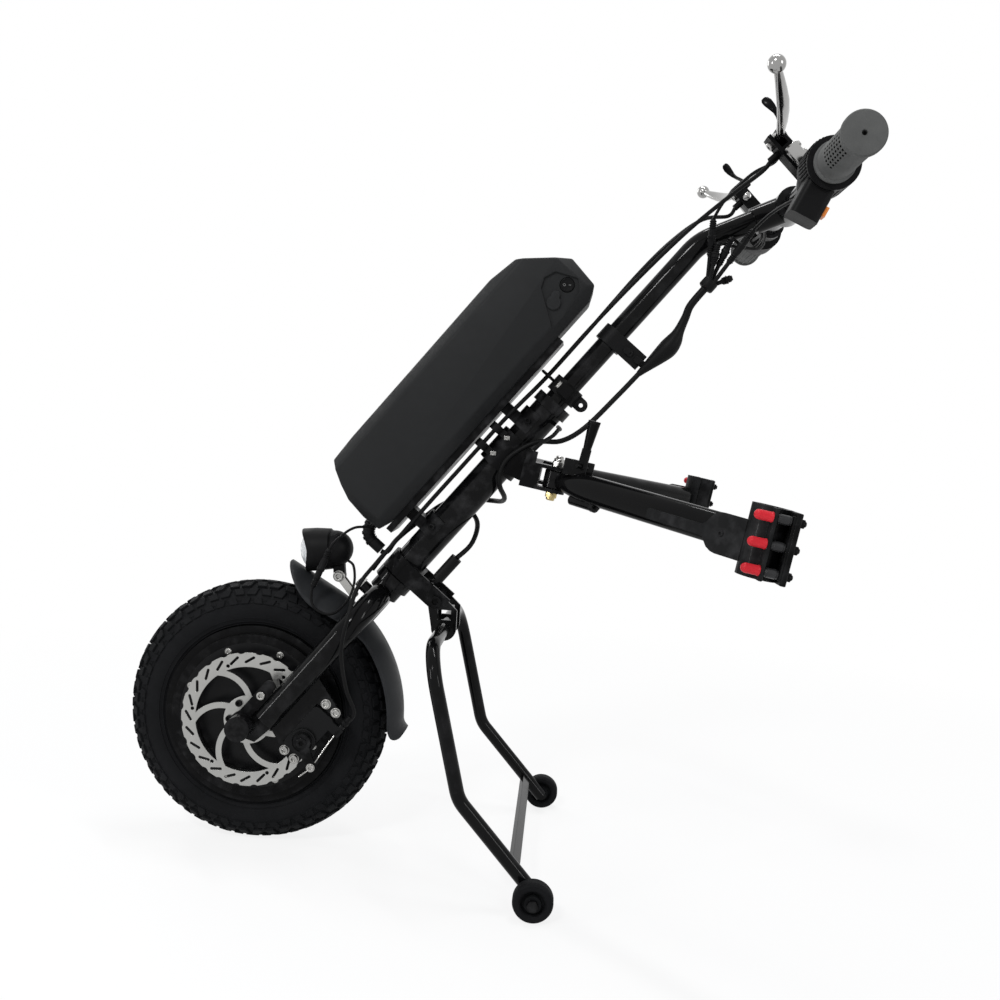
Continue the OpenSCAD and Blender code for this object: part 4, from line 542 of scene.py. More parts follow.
def piece(name, shape, body, material, slot, replaced=None, smooth=38):
    """A new object on a CAD body, with its material and the record's slot."""
    mesh = shape.mesh(name) if isinstance(shape, Shape) else shape
    obj = new_object(name, mesh)
    mesh.materials.append(material)
    for polygon in mesh.polygons:
        polygon.use_smooth = True
    mesh.set_sharp_from_angle(angle=radians(smooth))
    if body:
        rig.ride(obj, body)
    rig.slot(obj, slot)
    if replaced:
        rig.replaces(obj, replaced)
    return obj


def curve_point(a, b, c, d, t):
    bend = 2 * a - 5 * b + 4 * c - d
    twist = 3 * b - a - 3 * c + d
    return (2 * b + (c - a) * t + bend * t * t + twist * t ** 3) / 2


def smooth_route(points, steps):
    last = len(points) - 1
    route = []
    for i in range(last):
        a, b = points[max(i - 1, 0)], points[i]
        c, d = points[i + 1], points[min(i + 2, last)]
        route += [curve_point(a, b, c, d, k / steps) for k in range(steps)]
    return route + [points[last]]


# Cables: the same routes as the solids, cut where each passes from the turning parts to the frame
BRAKE_CABLE_R, HARNESS_R, LIGHT_LEAD_R, WIRE_R = 2.4, 3.0, 1.6, 1.8
ROUTE_STEPS = 6
BRAKE_LEFT_HIGH = [
    (1, -118, 851), (1, -116, 838), (-8, -76, 808), (-18, -38, 760), (-24, -22, 690), (-27, -14, 610),
    (-27, -9, 536), (-29, -23, 484), (-30, -22, 456), (-30, -22, 420), (-30, -22, 375)]
BRAKE_LEFT_LOW = [
    (-30, -22, 375), (-30, -22, 330), (-29, -23, 270), (-28, -36, 240), (-24, -66, 212), (-8, -92, 184),
    (12, -94, 150), (44, -82, 118), (71, -68, 98), (71, -68, 79)]
BRAKE_RIGHT_HIGH = [
    (1, 118, 851), (1, 116, 838), (-18, 70, 804), (-26, 16, 750), (-28, -10, 690), (-27, -8, 610),
    (-27, -3, 536), (-29, -17, 484), (-30, -16, 456), (-30, -16, 420), (-30, -16, 375)]
BRAKE_RIGHT_LOW = [(-30, -16, 375), (-30, -16, 330), (-29, -16, 270), (-28, -24, 246), (-26, -34, 230)]
HARNESS = [
    (50, -18, 607), (49, -20, 570), (46, -24, 520), (36, -30, 490), (16, -36, 470), (5, -38, 440),
    (7, -38, 420), (18, -32, 404), (31, -12, 396), (32, 10, 388), (22, 29, 378), (2, 36, 362), (-18, 33, 336),
    (-27, 27, 296), (-31, 16, 266), (-29, 5, 252), (-31, 1, 247), (-35, 0, 246)]
LIGHT = [
    (-56.3, -5, 211.1), (-47, -7, 211), (-33, -15, 199), (-24, -25, 181), (-24, -42, 164), (-34, -45, 154),
    (-50, -45, 153), (-63, -43, 166), (-69, -39, 188), (-80, -37, 216), (-79, -33, 239), (-75, -27, 251),
    (-68, -20, 258), (-64, -16, 263), (-64, -16, 268.4)]
WIRES = {
    "left_lever_wire": [(-6, -22, 792), (-10, -44, 812), (-6, -80, 840), (3, -98, 857), (4, -111, 860)],
    "switch_wire": [(36, -26, 812), (38, -56, 830), (46, -110, 842), (54, -148, 841), (55, -159.5, 840)],
    "throttle_wire": [(16, -24, 776), (32, -16, 786), (48, 0, 800), (51, 30, 820), (48, 90, 842),
                      (46, 146, 846), (46, 160, 846)],
    "right_lever_wire": [(24, -24, 790), (42, -13, 794), (56, 6, 810), (50, 44, 834), (36, 90, 854),
                         (24, 110, 860)],
}


def cable(name, route, radius, blend=None, body=None):
    shape = Shape()
    shape.tube(smooth_route([STEER(*p) for p in route], ROUTE_STEPS), radius)
    obj = piece(name, shape, body, CABLE_RUBBER, "cable_black")
    if blend:
        a, b, start, stop = blend
        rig.blend(obj, a, b, STEER(0, 0, start), STEER(0, 0, stop))
    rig.replaces(obj, "control_cables")


cable("brake_cable_left_high", BRAKE_LEFT_HIGH, BRAKE_CABLE_R, ("steering", "frame", 540, 470))
cable("brake_cable_left_low", BRAKE_LEFT_LOW, BRAKE_CABLE_R, ("frame", "steering", 300, 215))
cable("brake_cable_right_high", BRAKE_RIGHT_HIGH, BRAKE_CABLE_R, ("steering", "frame", 540, 470))
cable("brake_cable_right_low", BRAKE_RIGHT_LOW, BRAKE_CABLE_R, ("frame", "steering", 300, 228))
cable("harness_cable", HARNESS, HARNESS_R, ("steering", "frame", 600, 480))
cable("light_lead", LIGHT, LIGHT_LEAD_R, ("steering", "frame", 222, 264))
for wire_name, wire_route in WIRES.items():
    cable(wire_name, wire_route, WIRE_R, body="steering")


# Connectors
LIGHT_PLUG_R, BRANCH_PLUG_R = 4.2, 4.4


def ribs(r, start, foot, crest, head):
    """Four ribs on the tail of a plug, their radii in shares of the plug's."""
    points = []
    for k in range(4):
        z = start + k * 2.4
        points += [(r * foot, z), (r * crest, z + 0.5), (r * crest, z + 1.5), (r * head, z + 2)]
    return points


def connector(shape, a, b, r):
    """An inline plug between two points, with its joint collar and ribbed tails."""
    start, stop = STEER(*a), STEER(*b)
    length = (stop - start).length / MM
    profile = [(r * 0.6, 0), (r * 0.72, 1)] + ribs(r, 2, 0.74, 0.92, 0.76)
    profile += [(r, length * 0.32), (r, length * 0.47), (r * 1.16, length * 0.49), (r * 1.16, length * 0.55),
                (r * 0.95, length * 0.57), (r * 0.95, length - 12)]
    profile += ribs(r, length - 11, 0.76, 0.9, 0.74) + [(r * 0.6, length)]
    shape.lathe(aimed(start, stop - start), profile, 20)


light_plug = Shape()
connector(light_plug, (-79.5, -37, 214), (-64, -43, 168), LIGHT_PLUG_R)
piece("light_connector", light_plug, "steering", BLACK_PLASTIC, "black_plastic")


# Harness plug: a swelling moulded body, the splitter above it and one ribbed plug for each branch
SPLITTER = Vector((40, -20, 728))
BRANCH_ROOT_R, BRANCH_ROOT_H, BRANCH_R = 5.0, 11.0, 2.5
WIRE_TURNS = {"left_lever_wire": 162, "throttle_wire": 234, "right_lever_wire": 90, "switch_wire": 306}
BRANCHES = [(turn, WIRES[wire][0]) for wire, turn in WIRE_TURNS.items()] + [(18, (55, -22, 758))]


def harness_loom():
    shape = Shape()
    body = [(50, -18, 607, 3.4), (51, -18, 616, 5), (54, -18, 640, 9.6), (55, -18, 652, 11),
            (54, -18, 663, 9.4), (51, -18, 674, 6.2), (46, -19, 690, 4.8), (41, -20, 704, 4.5),
            (*SPLITTER, 4.4)]
    route = smooth_route([Vector(p) for p in body], ROUTE_STEPS)
    shape.tube([STEER(*p[:3]) for p in route], [p[3] for p in route], 24)
    shape.lathe(aimed(STEER(*SPLITTER), STEER.z),
                [(6, 0), (8.4, 1), (9, 2), (9, 11), (8.2, 12.4), (4, 13), (3.6, 12.4)])
    for turn, end in BRANCHES:
        t = radians(turn)
        start = SPLITTER + Vector((BRANCH_ROOT_R * cos(t), BRANCH_ROOT_R * sin(t), BRANCH_ROOT_H))
        stop = Vector(end)
        middle = start.lerp(stop, 0.4)
        shape.tube(smooth_route([STEER(*p) for p in (start, start.lerp(stop, 0.16), middle)], 4), BRANCH_R)
        connector(shape, middle - (stop - start) * 0.03, stop, BRANCH_PLUG_R)
    return shape


piece("harness_loom", harness_loom(), "steering", BLACK_PLASTIC, "black_plastic", "harness_plug")


# Left grip: a flanged rubber sleeve with two fields of pits, their floors and walls painted dark as shade
GRIP_START, GRIP_END, GRIP_R, GRIP_BORE_R = 206.3, 310.0, 18.0, 12.0
PIT_ROWS, PIT_START, PIT_STEP, PIT_LEN = 7, 240.0, 8.6, 4.4
PIT_MIDDLE, PIT_HALF_FIELD = 23, 34
PIT_RIM, PIT_DEPTH = 0.1, 1.8


def grip_sleeve():
    shape = Shape()
    sides = 60
    flange = [(1.4, 0), (2.4, 0.9), (2.4, 4.3), (1.4, 5.5), (0.2, 6.1)]
    brim = [(0, -8), (1, -6.6), (2.3, -5.4), (2.3, -1.4), (1.2, 0)]
    end_hole = [(3, 0), (2.4, -0.6), (2.4, -9)]
    profile = [(GRIP_BORE_R, GRIP_START)] + [(GRIP_R + r, GRIP_START + y) for r, y in flange]
    first = len(profile)
    for k in range(PIT_ROWS):
        y = PIT_START + k * PIT_STEP
        profile += [(GRIP_R, y), (GRIP_R, y + PIT_LEN)]
    profile += [(GRIP_R + r, GRIP_END + y) for r, y in brim] + [(r, GRIP_END + y) for r, y in end_hole]
    rings = shape.lathe(aimed(BAR_AT, LEFT), profile, sides)
    pits = []
    for row in range(PIT_ROWS):
        a, b = rings[first + 2 * row], rings[first + 2 * row + 1]
        for k in range(0, sides, 2):
            turn = (k + 0.5) * 360 / sides
            if abs((turn - PIT_MIDDLE + 90) % 180 - 90) < PIT_HALF_FIELD:
                pits.append(shape.bm.faces.get((a[k], a[k + 1], b[k + 1], b[k])))
    bmesh.ops.recalc_face_normals(shape.bm, faces=shape.bm.faces)
    bmesh.ops.inset_individual(shape.bm, faces=pits, thickness=PIT_RIM * MM, depth=-PIT_DEPTH * MM)
    # The pits' floors and walls take the second, near-black material: painted shade inside the pits
    for face in pits:
        face.material_index = 1
        for edge in face.edges:
            for wall in edge.link_faces:
                wall.material_index = 1
    return shape


grip = piece("grip_sleeve", grip_sleeve(), "steering", GREY_RUBBER, "grey_rubber", "left_grip")
# Near-black cable rubber as the grip's second material, for the painted shade in the pits
grip.data.materials.append(CABLE_RUBBER)

# Raised ribs on the front of the switch barrel, beside the grip
SWITCH_R, SWITCH_Y = 26.2, 186.0
switch_ribs = Shape()
for k in range(17):
    t = radians(100 + 7.5 * k)
    out = Vector((cos(t), 0, sin(t)))
    rib_at = BAR_AT + (out * SWITCH_R + LEFT * SWITCH_Y) * MM
    switch_ribs.block(Place(rib_at, out.cross(RIGHT), out), (1.9, 30, 2), 0.8)
piece("switch_ribs", switch_ribs, "steering", BLACK_PLASTIC, "black_plastic")


# Brake levers: forged blades with a ball, on a round hub, and the parking locks
LEVER_PIVOT = (58, 122)
LOCK_PIVOT = (60, 112)
LOCK_Z = -12.6
BRACKET_HALF_H = 8
BLOCK_Y, BLOCK_HALF_H = 140, 6.5
BALL_R = 8.5


def lock_blade(place):
    """A pressed lock: a round eye, a cranked arm and a thumb pad."""
    shape = Shape()
    shape.lathe(aimed(place(*LOCK_PIVOT, LOCK_Z - 1.5), place.z),
                [(5, 0), (5.5, 0.5), (5.5, 5.3), (5, 5.8), (2.6, 5.8), (2.6, 0)], 28, loop=True)
    stations = [(62, 116, 1.5, 3), (68, 124, 1.5, 3), (75, 134, 1.8, 2.6), (80, 138.4, 2.6, 2),
                (86, 139.6, 4, 1.7), (92, 138.6, 4.8, 1.5), (96, 137, 4.2, 1.4), (98, 136, 2.6, 1.2)]
    shape.blade(place, stations, LOCK_Z)
    return shape


def lever_blade(place):
    shape = Shape()
    stations = [(56.5, 112, 3.4, 4.6), (57.5, 122, 3.5, 6.4), (58.6, 134, 3.5, 5.2), (60.6, 147, 4.4, 3.8),
                (64, 168, 6.4, 3.2), (68.6, 188, 7.2, 2.9), (75, 208, 7.2, 2.8), (82.6, 226, 6.2, 2.8),
                (90.4, 243, 4.8, 3), (96, 254, 3.8, 3.4), (99, 260, 3.4, 3.4)]
    shape.blade(place, stations)
    shape.lathe(aimed(place(100, 262, 0), place.x * 42 + place.y * 140), arc(0, 0, BALL_R, -82, 90, 9))
    shape.lathe(aimed(place(*LEVER_PIVOT, -3.5), place.z),
                [(7.2, 0), (8, 0.8), (8, 6.2), (7.2, 7), (4.4, 7), (4.2, 6.6)])
    return shape


def lever_hardware(place):
    """The bright hinge screws, clamp block and adjuster beside the bracket."""
    shape = Shape()
    shape.bolt(aimed(place(*LEVER_PIVOT, -BRACKET_HALF_H), -place.z), 4.6, 2.8)
    shape.bolt(aimed(place(*LEVER_PIVOT, BRACKET_HALF_H), place.z), 5, 3.4)
    shape.block(aimed(place(34, BLOCK_Y, 0), place.z), (13, 22, 2 * BLOCK_HALF_H), 2.2)
    shape.bolt(aimed(place(29, BLOCK_Y, -BLOCK_HALF_H), -place.z), 4, 3.2, 5)
    shape.bolt(aimed(place(40, BLOCK_Y, -BLOCK_HALF_H), -place.z), 3.4, 3)
    shape.lathe(aimed(place(47, 112, 0), -place.y),
                [(3.4, 0), (4.6, 0.6)] + knurl(4.2, 1, 0.9, 10) + [(4.4, 10.6), (3.2, 11.4)], 24)
    return shape


for side, hand in HANDS.items():
    place = Place(BAR_AT, LEVER.x, LEVER.z, hand)
    piece("lever_blade_" + side, lever_blade(place), side + "_lever", ALLOY, "polished_alloy", "lever_" + side)
    piece("lock_blade_" + side, lock_blade(place), side + "_lock", SATIN_PAINT, "black_plastic", "lock_" + side)
    piece("lever_hardware_" + side, lever_hardware(place), "steering", ALLOY, "polished_alloy")


# Fender: a domed strip with a flat edge, a round front lip and a flared tail
FENDER_R, FENDER_HALF, FENDER_CROWN, FENDER_T = 162.0, 36.0, 15.0, 2.4
LIP_TURN, LIP_LEN, LIP_STEPS, LIP_DROP = 60, 65.0, 18, 24.0
TAIL_R, TAIL_TURN, TAIL_STEPS, TAIL_DROP = 30.0, 50, 14, 12.0
FENDER_POST_Z = 174


def fender_stations():
    """Points of the middle line, each with its outward direction, half width and drop of the edges."""
    stations = []
    lean = radians(LIP_TURN)
    up = Vector((cos(lean), sin(lean)))
    along = Vector((-sin(lean), cos(lean)))
    for k in range(LIP_STEPS):
        u = LIP_LEN * (1 - k / LIP_STEPS)
        width = FENDER_HALF * sqrt(1 - (max(u - 6, 0) / 60) ** 2)
        stations.append((up * FENDER_R + along * u, up, width, LIP_DROP))
    for k in range(LIP_TURN // 2 + 1):
        t = radians(LIP_TURN - 2 * k)
        up = Vector((cos(t), sin(t)))
        drop = TAIL_DROP + (LIP_DROP - TAIL_DROP) * max(0, 1 - k / 12)
        stations.append((up * FENDER_R, up, FENDER_HALF, drop))
    for k in range(1, TAIL_STEPS + 1):
        t = radians(TAIL_TURN * k / TAIL_STEPS)
        q = max(0.0, (k - 8) / 6.4)
        at = Vector((FENDER_R + TAIL_R - TAIL_R * cos(t), -TAIL_R * sin(t)))
        width = FENDER_HALF - 16 * (1 - sqrt(1 - q * q))
        stations.append((at, Vector((cos(t), sin(t))), width, TAIL_DROP))
    return stations


def fender_shell():
    shape = Shape()
    across = [k / 14 for k in range(-14, 15)]
    grids = []
    for deep in (0, FENDER_T):
        rows = []
        for at, up, width, drop in fender_stations():
            row = []
            for t in across:
                rise = FENDER_CROWN - drop * abs(t * width / FENDER_HALF) ** 2.2 - deep
                row.append(WHEEL(at.x + up.x * rise, t * width, at.y + up.y * rise))
            rows.append(shape.ring(row))
        grids.append(rows)
    outer, inner = grids
    for rows in grids:
        for a, b in zip(rows, rows[1:]):
            shape.strip(a, b)
    for k in (0, -1):
        shape.strip(outer[k], inner[k])
        shape.strip([row[k] for row in outer], [row[k] for row in inner])
    shape.lathe(aimed(STEER(0, 0, FENDER_POST_Z), STEER.z),
                [(11, 0), (11, 1.6), (8.4, 3), (8, 4.5), (8, 15.5), (7.4, 16)])
    return shape


piece("fender_shell", fender_shell(), "steering", FENDER_PLASTIC, "black_plastic", "fender")


# Headlight: a bezel with a brim that runs into its rim, a domed back, and a domed lens over a bright bowl
BRIM, RIM_Z = 9.0, 1.5
BACK_R, BACK_Z = 22, 29
TAB_X, TAB_Z, TAB_R, TAB_HALF, TAB_FACE = 33, 33, 7, 4, 6.5


def lamp_shell():
    shape = Shape()
    profile = [(0.6, 23), (11, 22.2), (13.9, 19.6), (17.4, 15.4), (20.8, 9.6), (23.6, 6), (23.8, 1),
               (24.6, 0), (25.6, 0.2), (26, 1.2), (26, 8), (24.6, 25), (24, 25.6), (23.4, 25.8), (23.2, 26.4),
               (22.6, 26.8)]
    rings = []
    for r, z in profile + arc(0, BACK_Z, BACK_R, 0, 90, 8):
        ring = []
        for t in circle(64):
            reach = 0
            if z < RIM_Z:
                reach = BRIM * (max(0.0, -cos(t)) ** 1.6 + 0.75 * max(0.0, cos(t)) ** 1.4)
            ring.append(LAMP(r * cos(t), r * sin(t), z - reach))
        rings.append(shape.ring(ring))
    shape.skin(rings)
    low, high, root = TAB_Z - TAB_R, TAB_Z + TAB_R, 14
    tab = [(root, low), (TAB_X, low)] + arc(TAB_X, TAB_Z, TAB_R, -75, 90, 15) + [(TAB_X, high), (root, high)]
    shape.slab(LAMP, tab, -TAB_HALF, TAB_HALF)
    return shape


piece("lamp_shell", lamp_shell(), "steering", BLACK_PLASTIC, "black_plastic", "headlight_shell")
lamp_glass = Shape()
lamp_glass.lathe(LAMP, [(0.6, -12.6), (7, -12), (13, -10), (18, -6.6), (21.8, -1.6), (23.3, 2.2), (23.3, 5.8),
                        (21.4, 6), (20, 2), (16.6, -4), (12, -7.6), (6.4, -9.6), (0.6, -10.2)], 48)
piece("lamp_glass", lamp_glass, "steering", CLEAR_LENS, "clear_lens", "headlight_lens")
lamp_bowl = Shape()
lamp_bowl.lathe(LAMP, [(20.4, 6.4), (19, 9), (16, 14), (12.6, 18), (10, 20), (5, 21), (4.6, 16),
                       (0.5, 15), (0.5, 22.4), (11, 21.6), (13.6, 19), (17, 15), (20.2, 9.4), (20.9, 6.4)], 40,
                loop=True)
piece("lamp_bowl", lamp_bowl, "steering", ALLOY, "polished_alloy")


# Screws on the steering parts
CALIPER_BOLTS = [(x, -67, z) for x in (40, 55) for z in (9, 83)]
TORQUE_BOLT = (-22, -76, 42)
CROWN_BOLT = (-26.5, 0, 200)
CLIP_BOLT = (-8, -21.9, 536)
BAND_RIVETS = [(x, -16.7, 618) for x in (26, 44)]

screws = Shape()
for bolt_at in CALIPER_BOLTS:
    screws.bolt(aimed(STEER(*bolt_at), LEFT), 5, 4, 6)
screws.bolt(aimed(STEER(*TORQUE_BOLT), LEFT), 5, 4)
screws.bolt(aimed(STEER(*CROWN_BOLT), -STEER.x), 6, 5, 7)
screws.bolt(aimed(STEER(*CLIP_BOLT), -STEER.x), 5, 4)
screws.bolt(aimed(LAMP(TAB_X, -TAB_FACE, TAB_Z), LEFT), 6, 5, 7)
screws.nut(aimed(LAMP(TAB_X, TAB_FACE, TAB_Z), RIGHT), 6, 4.5, 3)
piece("steering_screws", screws, "steering", BRIGHT_STEEL, "bright_steel", "steering_bolts")

rivets = Shape()
for rivet_at in BAND_RIVETS:
    rivets.lathe(aimed(STEER(*rivet_at), LEFT), [(4.4, 0), (4.4, 1.4), (3.4, 2.6), (1.8, 3), (1.6, 2.2)], 24)
piece("band_rivets", rivets, "steering", SATIN_PAINT, "black_paint")


# Caliper: barrel adjuster, return spring and the bare inner wire to the arm
PULL_X, PULL_BOLT_Y, PULL_Z = 49, -79.1, 34
SPRING_R, SPRING_Y, SPRING_TURN, SPRING_RISE = 12.4, -75.6, 0.42, 0.045
WIRE_ROUTE = [(71, -68, 66), (73, -71, 48), (75.6, -76, 26), (76, -79.6, 17), (73, -80, 2)]

adjuster = Shape()
adjuster.lathe(aimed(STEER(71, -68, 64), STEER.z),
               [(3, 0), (4.6, 0.6)] + knurl(4.3, 1.4, 0.8, 8) +
               [(4.3, 8.4), (3.2, 9), (3.2, 16), (4.9, 16.6), (4.9, 20), (3.4, 21), (3.1, 27), (2.6, 28)], 24)
piece("barrel_adjuster", adjuster, "steering", BLACK_PLASTIC, "black_plastic")
spring = Shape()
coil = []
for k in range(46):
    t = k * SPRING_TURN
    coil.append(STEER(PULL_X + SPRING_R * cos(t), SPRING_Y + k * SPRING_RISE, PULL_Z + SPRING_R * sin(t)))
spring.tube(coil, 0.8, 8)
spring.bolt(aimed(STEER(PULL_X, PULL_BOLT_Y, PULL_Z), LEFT), 5.6, 3.2)
piece("caliper_spring", spring, "steering", SATIN_PAINT, "black_paint")
inner_wire = Shape()
inner_wire.tube(smooth_route([STEER(*p) for p in WIRE_ROUTE], 5), 0.75, 8)
wire_obj = piece("brake_inner_wire", inner_wire, None, BRIGHT_STEEL, "bright_steel")
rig.blend(wire_obj, "steering", "brake_arm", STEER(71, -68, 64), STEER(75.6, -76, 24))
anchor = Shape()
anchor.bolt(aimed(STEER(76, -79, 19), LEFT), 4, 3, 5)
piece("wire_anchor", anchor, "brake_arm", BRIGHT_STEEL, "bright_steel")


# Wheel: cover screws, disc bolts, the tyre and the moulded lines of its walls
COVER_BOLT_R, COVER_FACE = 81.84, 36
DISC_BOLT_R, DISC_FACE = 22, -53
TYRE_R, SECTION_R, TYRE_WALL = 126, 29.5, 5
BLOCKS, BLOCK_HALF_TURN, BLOCK_SKEW, BLOCK_FOOT = 56, 2.05, 0.5, 28.6
WALL_LINES = (109.5, 112.5, 117, 134.5, 138)


def bolt_circle(shape, r, y, count, start, size):
    """Bolts on a circle of the wheel, their heads away from its middle."""
    for i in range(count):
        t = radians(start + 360 / count * i)
        shape.bolt(aimed(WHEEL(r * cos(t), y, -r * sin(t)), RIGHT if y > 0 else LEFT), *size)


cover_bolts = Shape()
for s in (-1, 1):
    bolt_circle(cover_bolts, COVER_BOLT_R, s * COVER_FACE, 8, 22.5, (3.4, 2.5, 4.2))
piece("cover_bolts", cover_bolts, "wheel", BRIGHT_STEEL, "bright_steel", "wheel_screws")
disc_bolts = Shape()
bolt_circle(disc_bolts, DISC_BOLT_R, DISC_FACE, 6, 0, (4, 3))
piece("disc_bolts", disc_bolts, "wheel", SATIN_PAINT, "bright_steel", "wheel_screws")


def tyre_body():
    """The carcass and seven staggered rows of tread blocks."""
    shape = Shape()
    around = aimed(AXLE_AT, RIGHT)
    inside = arc(TYRE_R, 0, SECTION_R - TYRE_WALL, -141, 142, 12)
    shape.lathe(around, arc(TYRE_R, 0, SECTION_R, -141, 142, 6) + inside[::-1], 144, loop=True)
    rows = [(-68, 6.5, 31.4), (-46, 8, 32.4), (-23, 8.5, 33), (0, 8.5, 33), (23, 8.5, 33), (46, 8, 32.4),
            (68, 6.5, 31.4)]
    for j, (middle, half, high) in enumerate(rows):
        for i in range(BLOCKS):
            at = (i + 0.5 * (j % 2)) * 360 / BLOCKS
            skew = BLOCK_SKEW if i % 2 else -BLOCK_SKEW
            rings = []
            for r, grow in ((BLOCK_FOOT, 1.12), (high - 0.5, 1), (high, 0.88)):
                ring = []
                for a, b in ((-1, -1), (1, -1), (1, 1), (-1, 1)):
                    phi = radians(middle + a * half * grow)
                    theta = radians(at + b * BLOCK_HALF_TURN * grow + a * skew)
                    q = TYRE_R + r * cos(phi)
                    ring.append(around(q * cos(theta), q * sin(theta), r * sin(phi)))
                rings.append(shape.ring(ring))
            shape.skin(rings)
    return shape


piece("tyre_body", tyre_body(), "wheel", TYRE_RUBBER, "tyre_rubber", "tyre", smooth=30)
walls = Shape()
for s in (-1, 1):
    for line_r in WALL_LINES:
        y = sqrt(SECTION_R ** 2 - (line_r - TYRE_R) ** 2)
        ridge = [(line_r + r, y + h) for r, h in ((-0.9, -1), (-0.5, 0.55), (0.5, 0.55), (0.9, -1))]
        walls.lathe(aimed(AXLE_AT, RIGHT * s), ridge, 128, loop=True)
piece("tyre_wall_lines", walls, "wheel", TYRE_RUBBER, "tyre_rubber")


# Frame: hinge pins and nuts, stand bolt, saddle screws and the two collar screws
HINGE_Y, HINGE_HALF_H, HINGE_PIN_R = JOINTS["right_arm_swing"]["pos_m"][1] / MM, 14.6, 5
SADDLE_X, SADDLE_Y, SADDLE_ZS = -9, 23, (313, 481)
STAND_X, STAND_Y, STAND_Z = 54, 26, 250
COLLAR_X, COLLAR_Y, COLLAR_ZS = -13, -21, (426, 450)

hinge_nuts, low_nuts, frame_screws = Shape(), Shape(), Shape()
for s in (-1, 1):
    hinge_nuts.nut(aimed(YOKE(0, s * HINGE_Y, HINGE_HALF_H), YOKE.z), 7.5, 6, HINGE_PIN_R)
    low_nuts.nut(aimed(YOKE(0, s * HINGE_Y, -HINGE_HALF_H), -YOKE.z), 7.5, 6, HINGE_PIN_R)
    hinge_nuts.lathe(aimed(YOKE(0, s * HINGE_Y, 0), YOKE.z),
                     [(4.4, -HINGE_HALF_H), (HINGE_PIN_R, -14), (HINGE_PIN_R, 14), (4.4, HINGE_HALF_H)])
    for z in SADDLE_ZS:
        frame_screws.bolt(aimed(STEER(SADDLE_X, s * SADDLE_Y, z), RIGHT * s), 4, 4)
frame_screws.bolt(aimed(STEER(STAND_X, -STAND_Y, STAND_Z), LEFT), 7.5, 5)
frame_screws.nut(aimed(STEER(STAND_X, STAND_Y, STAND_Z), RIGHT), 7.5, 5, 4)
piece("hinge_nuts_top", hinge_nuts, "frame", BRIGHT_STEEL, "bright_steel", "frame_bolts")
piece("hinge_nuts_low", low_nuts, "frame", BRASS, "bright_steel", "frame_bolts")
piece("stand_pivot_bolt", frame_screws, "frame", SATIN_PAINT, "bright_steel", "frame_bolts")
collar_screws = Shape()
for z in COLLAR_ZS:
    collar_screws.block(aimed(STEER(COLLAR_X, COLLAR_Y, z), LEFT), (7, 5, 5), 1)
    collar_screws.bolt(aimed(STEER(COLLAR_X, COLLAR_Y - 2.5, z), LEFT), 2.6, 1.6)
piece("collar_screws", collar_screws, "frame", BRIGHT_STEEL, "bright_steel", "frame_bolts")


# Near arm: a glossy oval tube that starts flat at its eye, with the release lever's clevis and plunger
ARM_TURN = radians(46)
ARMS = {}
for side, hand in HANDS.items():
    along = YOKE.x * cos(ARM_TURN) + YOKE.y * hand * sin(ARM_TURN)
    ARMS[side] = Place(YOKE(0, hand * HINGE_Y, 0), along, YOKE.z, hand)
ARM_WIDE, ARM_HIGH, ARM_END, ARM_ROUND = 11, 16, 262, 0.86
CLEVIS_X, PLUNGER_Z = 33, -16


def oval_arm(place):
    shape = Shape()
    stations = [(10, 8.6, 9.6), (22, 10, 11.4), (34, 10.6, 13.4), (48, ARM_WIDE, 15.2),
                (64, ARM_WIDE, ARM_HIGH), (150, ARM_WIDE, ARM_HIGH), (ARM_END - 3, ARM_WIDE, ARM_HIGH),
                (ARM_END - 0.6, 10.6, 15.4), (ARM_END, 9.4, 14)]
    rings = []
    for x, wide, high in stations:
        rings.append(shape.ring([place(x, wide * power(cos(t), ARM_ROUND), high * power(sin(t), ARM_ROUND))
                                 for t in circle(40)]))
    shape.skin(rings)
    shape.lathe(aimed(place(0, 0, -10.2), place.z),
                [(11.6, 0), (12.5, 0.9), (12.5, 19.5), (11.6, 20.4), (5.05, 20.4), (5.05, 0)], 40, loop=True)
    for s in (-1, 1):
        shape.block(aimed(place(CLEVIS_X, s * 5.6, 19.4), place.z), (4.6, 26, 18), 1.6)
    shape.lathe(aimed(place(38, -8, 22.5), place.y), [(2.6, -0.8), (3, 0), (3, 16), (2.6, 16.8)], 20)
    shape.lathe(aimed(place(CLEVIS_X, 0, PLUNGER_Z), place.x),
                [(5, 0), (6, 1), (6, 34), (6.6, 34.6), (6.6, 39), (5.8, 40), (3, 40), (3, 43), (2.2, 44)], 28)
    shape.lathe(aimed(place(ARM_END, 0, 0), place.x), [(9.6, -2), (9.6, 2.2), (8.6, 3)])
    return shape


piece("oval_arm_left", oval_arm(ARMS["left"]), "left_arm", BLACK_PAINT, "black_paint", "arm_left")


# Clamps: a plate on the arm, then two half shells whose bolts run fore and aft beside the bore
CLAMP_X, CLAMP_TURN, CLAMP_HALF_H = 292, radians(6), 34.0
BORE_R, SHELL_R, SPLIT = 12.7, 19.2, 0.3
BOLT_Y, BOLT_ZS = 25, (-25, 0, 25)
CAP_R, CAP_LEN = 4.7, 17.5
PLATE_LOW, PLATE_HIGH = 11, 16
PLATE = [(160, -10), (229, -10), (233, -11), (236, -14.5), (240, -19), (246, -22), (252, -23), (280, -23),
         (280, 17), (250, 17), (243, 15), (238, 10), (234, 4), (230, 1.4), (226, 1), (160, 1), (158, -1),
         (158, -8)]


def half_shell(side):
    outline = arc(SPLIT, 0, SHELL_R, -90, 91, 9) + arc(SPLIT, 0, BORE_R, -90, 91, 9)[::-1]
    return [(side * x, y) for x, y in outline]


